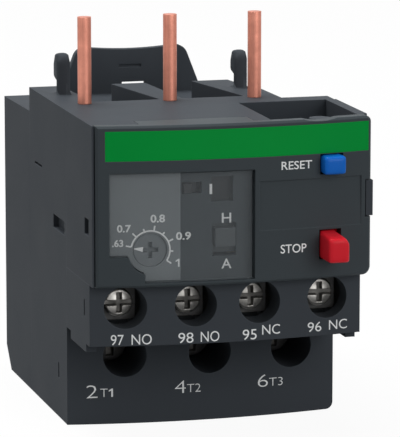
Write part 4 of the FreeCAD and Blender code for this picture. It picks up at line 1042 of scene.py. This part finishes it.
# ---- Sub-assemblies ----
@dataclass
class Mouldings:
    """The four dark mouldings and the print on the terminal fronts."""

    tab_foot: float = 51.2 * MM
    tab_round: float = 0.75 * MM
    hook_foot: float = 47.4 * MM
    hook_round: float = 0.25 * MM
    thin_print: float = -0.014
    even_print: float = 0.0
    power_marks: tuple[Mark, ...] = (
        Mark("2", -19.5, -17.75, 4.3, 2.1), Mark("T", -17.3, -16.15, 4.45, 1.35),
        Mark("1", -15.95, -15.3, 4.45, 1.35),
        Mark("4", -5.3, -3.5, 4.6, 2.05), Mark("T2", -3.3, -1.05, 4.65, 1.35),
        Mark("6", 8.6, 10.35, 4.7, 2.05), Mark("T3", 10.55, 12.9, 4.75, 1.35))
    control_marks: tuple[Mark, ...] = (
        Mark("97", -19.3, -17.3, 16.2, 1.65), Mark("NO", -16.1, -12.95, 16.2, 1.65),
        Mark("98", -8.8, -6.4, 16.2, 1.65), Mark("NO", -5.25, -2.25, 16.25, 1.65),
        Mark("95", 1.5, 3.8, 16.2, 1.65), Mark("NC", 4.7, 7.65, 16.85, 1.55),
        Mark("96", 12.3, 14.65, 16.7, 1.55), Mark("NC", 15.95, 19.05, 16.8, 1.55))

    def build(self, shop: Workshop) -> None:
        """Dresses the mouldings and prints the terminal numbers.

        Args:
            shop: the workshop.
        """
        shop.dress(Finish.HOUSING, "chamber_housing", "rear_cover", "mechanism_case", "control_block")
        shop.soften(self.tab_round, self.tab_foot, "chamber_housing")
        shop.soften(self.hook_round, self.hook_foot, "rear_cover")
        for name, node, marks, boldness in (
                ("terminal_numbers", "chamber_housing", self.power_marks, self.thin_print),
                ("contact_numbers", "control_block", self.control_marks, self.even_print)):
            front = SwollenFront(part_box(node)[0][1] + FRONT_RISE)
            PrintedBoard(name, front, "base", "housing", marks=marks,
                         boldness=boldness).build(shop, Finish.INK)


@dataclass
class FrontPanel:
    """Fascia with its inlay, window, dial, slides and buttons."""

    plate_sink: float = 1.5 * MM
    pan_sink: float = 1.9 * MM
    dial_bow: float = 0.001 * MM
    button_grid: float = 0.14 * MM
    button_passes: int = 45
    coats: tuple[tuple[Finish, str], ...] = (
        (Finish.FRONT, "fascia"), (Finish.BAND, "colour_band"), (Finish.SCALE, "scale_plate"),
        (Finish.COVER, "window_cover"), (Finish.DIAL, "adjustment_dial"), (Finish.SLIDE, "mode_selector"),
        # the test slider takes the near-black finish as painted shade of its slot
        (Finish.CARRIER_AND_SLOT_SHADE, "test_slider"), (Finish.RESET, "reset_button"), (Finish.STOP, "stop_button"))
    button_marks: tuple[Mark, ...] = (
        Mark("RESET", 7.0, 12.05, 43.25, 1.3), Mark("STOP", 6.9, 11.2, 30.1, 1.4))
    selector_marks: tuple[Mark, ...] = (
        Mark("H", -2.1, -0.6, 35.1, 1.55), Mark("A", -2.15, -0.55, 27.9, 1.55),
        Mark("I", -4.05, -3.65, 39.7, 1.6))
    dial_marks: tuple[Mark, ...] = (
        Mark(".63", -19.3, -17.6, 31.9, 1.15), Mark("0.7", -18.55, -16.4, 34.15, 1.2),
        Mark("0.8", -13.4, -11.15, 35.6, 1.25), Mark("0.9", -9.45, -7.1, 32.75, 1.25),
        Mark("1", -9.5, -8.9, 28.55, 1.25))

    def build(self, shop: Workshop) -> None:
        """Dresses the panel and prints it.

        Args:
            shop: the workshop.
        """
        for finish, node in self.coats:
            shop.dress(finish, node)
        shop.polish(self.button_grid, self.button_passes, "reset_button", "stop_button")
        front = SwollenFront(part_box("fascia")[0][1] + FRONT_RISE)
        PrintedBoard("button_names", front, "base", "fascia", marks=self.button_marks).build(shop, Finish.INK)
        PrintedBoard("selector_names", front, "base", "fascia", sink=self.pan_sink,
                     marks=self.selector_marks).build(shop, Finish.INK)
        DialScale("dial_scale", front, "base", "scale", sink=self.plate_sink,
                  marks=self.dial_marks).build(shop, Finish.INK)
        dial_face = SwollenFront(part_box("adjustment_dial")[0][1], rise=self.dial_bow)
        DialPointer("dial_pointer", dial_face, "dial", "dial").build(shop, Finish.INK)


@dataclass
class Terminals:
    """Screws, clamps and plates of all seven terminals: head height and shank radius of each size."""

    power_screw: tuple[float, float] = (2.2 * MM, 2.0 * MM)
    control_screw: tuple[float, float] = (1.8 * MM, 1.5 * MM)

    def build(self, shop: Workshop) -> None:
        """Dresses the terminals and makes their screws.

        Args:
            shop: the workshop.
        """
        # power screws take the darkened screw finish as painted shade of their deep wells
        rows = [("power", pole, Finish.SCREW_IN_WELL_SHADE, self.power_screw) for pole in POLES]
        rows += [("control", contact, Finish.SCREW, self.control_screw) for contact in CONTACTS]
        for kind, number, finish, sizes in rows:
            shop.dress(Finish.CLAMP, f"{kind}_clamp_{number}")
            shop.dress(Finish.CONTACT, f"{kind}_plate_{number}")
            shop.dress(finish, f"{kind}_screw_{number}")
            TerminalScrew(f"{kind}_screw_{number}", finish, *sizes).build(shop)


@dataclass
class TripWorks:
    """Line pins, heated strips, bars, lever, carrier and springs."""

    def build(self, shop: Workshop) -> None:
        """Dresses the works and winds the springs.

        Args:
            shop: the workshop.
        """
        for pole in POLES:
            shop.dress(Finish.COPPER, "line_pin_" + pole)
            shop.dress(Finish.BIMETAL, "bimetal_strip_" + pole)
            shop.dress(Finish.WINDING, "heater_winding_" + pole)
        shop.dress(Finish.INNER, "drive_bar", "differential_bar", "trip_lever")
        shop.dress(Finish.CARRIER_AND_SLOT_SHADE, "contact_carrier")
        shop.dress(Finish.CONTACT, "make_bridge", "break_bridge")
        shop.dress(Finish.SPRING, "reset_spring", "stop_spring", "carrier_spring")
        travel = {joint["name"]: joint.get("range_m") for joint in frame["joints"]}
        for node, joint, axis in (("reset_spring", "reset_press", 1), ("stop_spring", "stop_press", 1),
                                  ("carrier_spring", "carrier_trip", 2)):
            low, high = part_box(node)
            fixed = high[1] if axis == 1 else low[2]
            keep = 1.0 - travel[joint][1] / (high[axis] - low[axis])
            ReturnSpring(node, joint, axis, fixed, keep).build(shop)


# ---- Studio ----
@dataclass
class Studio:
    """Pale floor, soft lamps, white surroundings and the camera."""

    yaw: float = -15.27
    pitch: float = 10.26
    distance: float = 0.5792
    aim: tuple[float, float, float] = (0.00049, -0.0067, 0.03177)
    lens: float = 296.5
    sky: float = 0.25
    ground: float = 0.2
    floor_half: float = 4.0
    floor_gap: float = 0.05 * MM
    floor_sheen: float = 0.9
    floor_glow: float = 0.94
    lamps: tuple[tuple[str, tuple[float, float, float], float, float], ...] = (
        ("key", (-0.15, 0.15, 0.9), 0.6, 7.9),
        ("front", (0.35, -0.95, 0.35), 0.7, 4.3),
        ("left", (-0.95, -0.1, 0.4), 0.7, 0.75))

    def seen_white(self, sheet: NodeSheet, plain: bpy.types.NodeSocket,
                   white: bpy.types.NodeSocket) -> bpy.types.NodeSocket:
        """Puts a white in what the camera, mirrors and clear pieces see.

        Args:
            sheet: the material's or world's sheet.
            plain: shader that lights the object.
            white: shader that is looked at.

        Returns:
            The chosen shader's socket.
        """
        path = sheet.add("ShaderNodeLightPath").outputs
        seen = sheet.math("MAXIMUM", path["Is Camera Ray"],
                          sheet.math("MAXIMUM", path["Is Glossy Ray"], path["Is Transmission Ray"]))
        return sheet.add("ShaderNodeMixShader", {0: seen, 1: plain, 2: white}).outputs[0]

    def surroundings(self) -> None:
        """Makes the world: an even pale light that is seen as white."""
        world = bpy.data.worlds.new("surroundings")
        bpy.context.scene.world = world
        world.use_nodes = True
        sheet = NodeSheet(world.node_tree)
        plain = sheet.add("ShaderNodeBackground", {"Color": (1.0, 1.0, 1.0), "Strength": self.sky}).outputs[0]
        white = sheet.add("ShaderNodeBackground", {"Color": (1.0, 1.0, 1.0), "Strength": 1.0}).outputs[0]
        sheet.add("ShaderNodeOutputWorld", {"Surface": self.seen_white(sheet, plain, white)})

    def floor(self) -> None:
        """Makes the floor: a wide pale sheet just under the object, seen nearly white with a shadow."""
        corners = np.array(((-1, -1, 0), (1, -1, 0), (1, 1, 0), (-1, 1, 0)), float) * self.floor_half
        corners[:, 2] = CAD_BOX[0][2] - self.floor_gap
        piece = mesh_piece("floor", corners, [[0, 1, 2, 3]])
        material, sheet = new_material("pale_floor")
        plain, sheen = (sheet.add("ShaderNodeBsdfDiffuse", {"Color": (grey, grey, grey)}).outputs[0]
                        for grey in (self.ground, self.floor_sheen))
        glow = sheet.add("ShaderNodeEmission", {"Color": (1.0, 1.0, 1.0), "Strength": 1.0}).outputs[0]
        white = sheet.add("ShaderNodeMixShader", {0: self.floor_glow, 1: sheen, 2: glow}).outputs[0]
        sheet.add("ShaderNodeOutputMaterial", {"Surface": self.seen_white(sheet, plain, white)})
        piece.data.materials.append(material)

    def lights(self) -> None:
        """Hangs the lamps, each turned to the object's middle."""
        target = Vector(self.aim)
        for name, place, size, power in self.lamps:
            lamp = bpy.data.lights.new(name, "AREA")
            lamp.size = size
            lamp.energy = power
            holder = bpy.data.objects.new(name, lamp)
            holder.location = place
            holder.rotation_euler = (target - Vector(place)).to_track_quat("-Z", "Y").to_euler()
            bpy.context.scene.collection.objects.link(holder)

    def camera(self) -> None:
        """Sets the camera a little to the left and above, looking at the object's front."""
        yaw = math.radians(self.yaw)
        pitch = math.radians(self.pitch)
        back = Vector((math.sin(yaw) * math.cos(pitch), -math.cos(yaw) * math.cos(pitch), math.sin(pitch)))
        lens = bpy.data.cameras.new("camera")
        lens.sensor_width = 36.0
        lens.lens = self.lens
        lens.clip_start = 0.01
        lens.clip_end = 50.0
        holder = bpy.data.objects.new("camera", lens)
        holder.location = Vector(self.aim) + back * self.distance
        holder.rotation_euler = (-back).to_track_quat("-Z", "Y").to_euler()
        bpy.context.scene.collection.objects.link(holder)
        bpy.context.scene.camera = holder

    def build(self) -> None:
        """Sets up the whole studio."""
        self.camera()
        self.surroundings()
        self.floor()
        self.lights()
        bpy.context.scene.view_settings.view_transform = "Standard"


def main() -> None:
    """Builds the studio, then each sub-assembly in turn."""
    logging.basicConfig(level=logging.INFO, format="%(name)s: %(message)s")
    Studio().build()
    shop = Workshop()
    Mouldings().build(shop)
    FrontPanel().build(shop)
    Terminals().build(shop)
    TripWorks().build(shop)


if __name__ == "__main__":
    main()
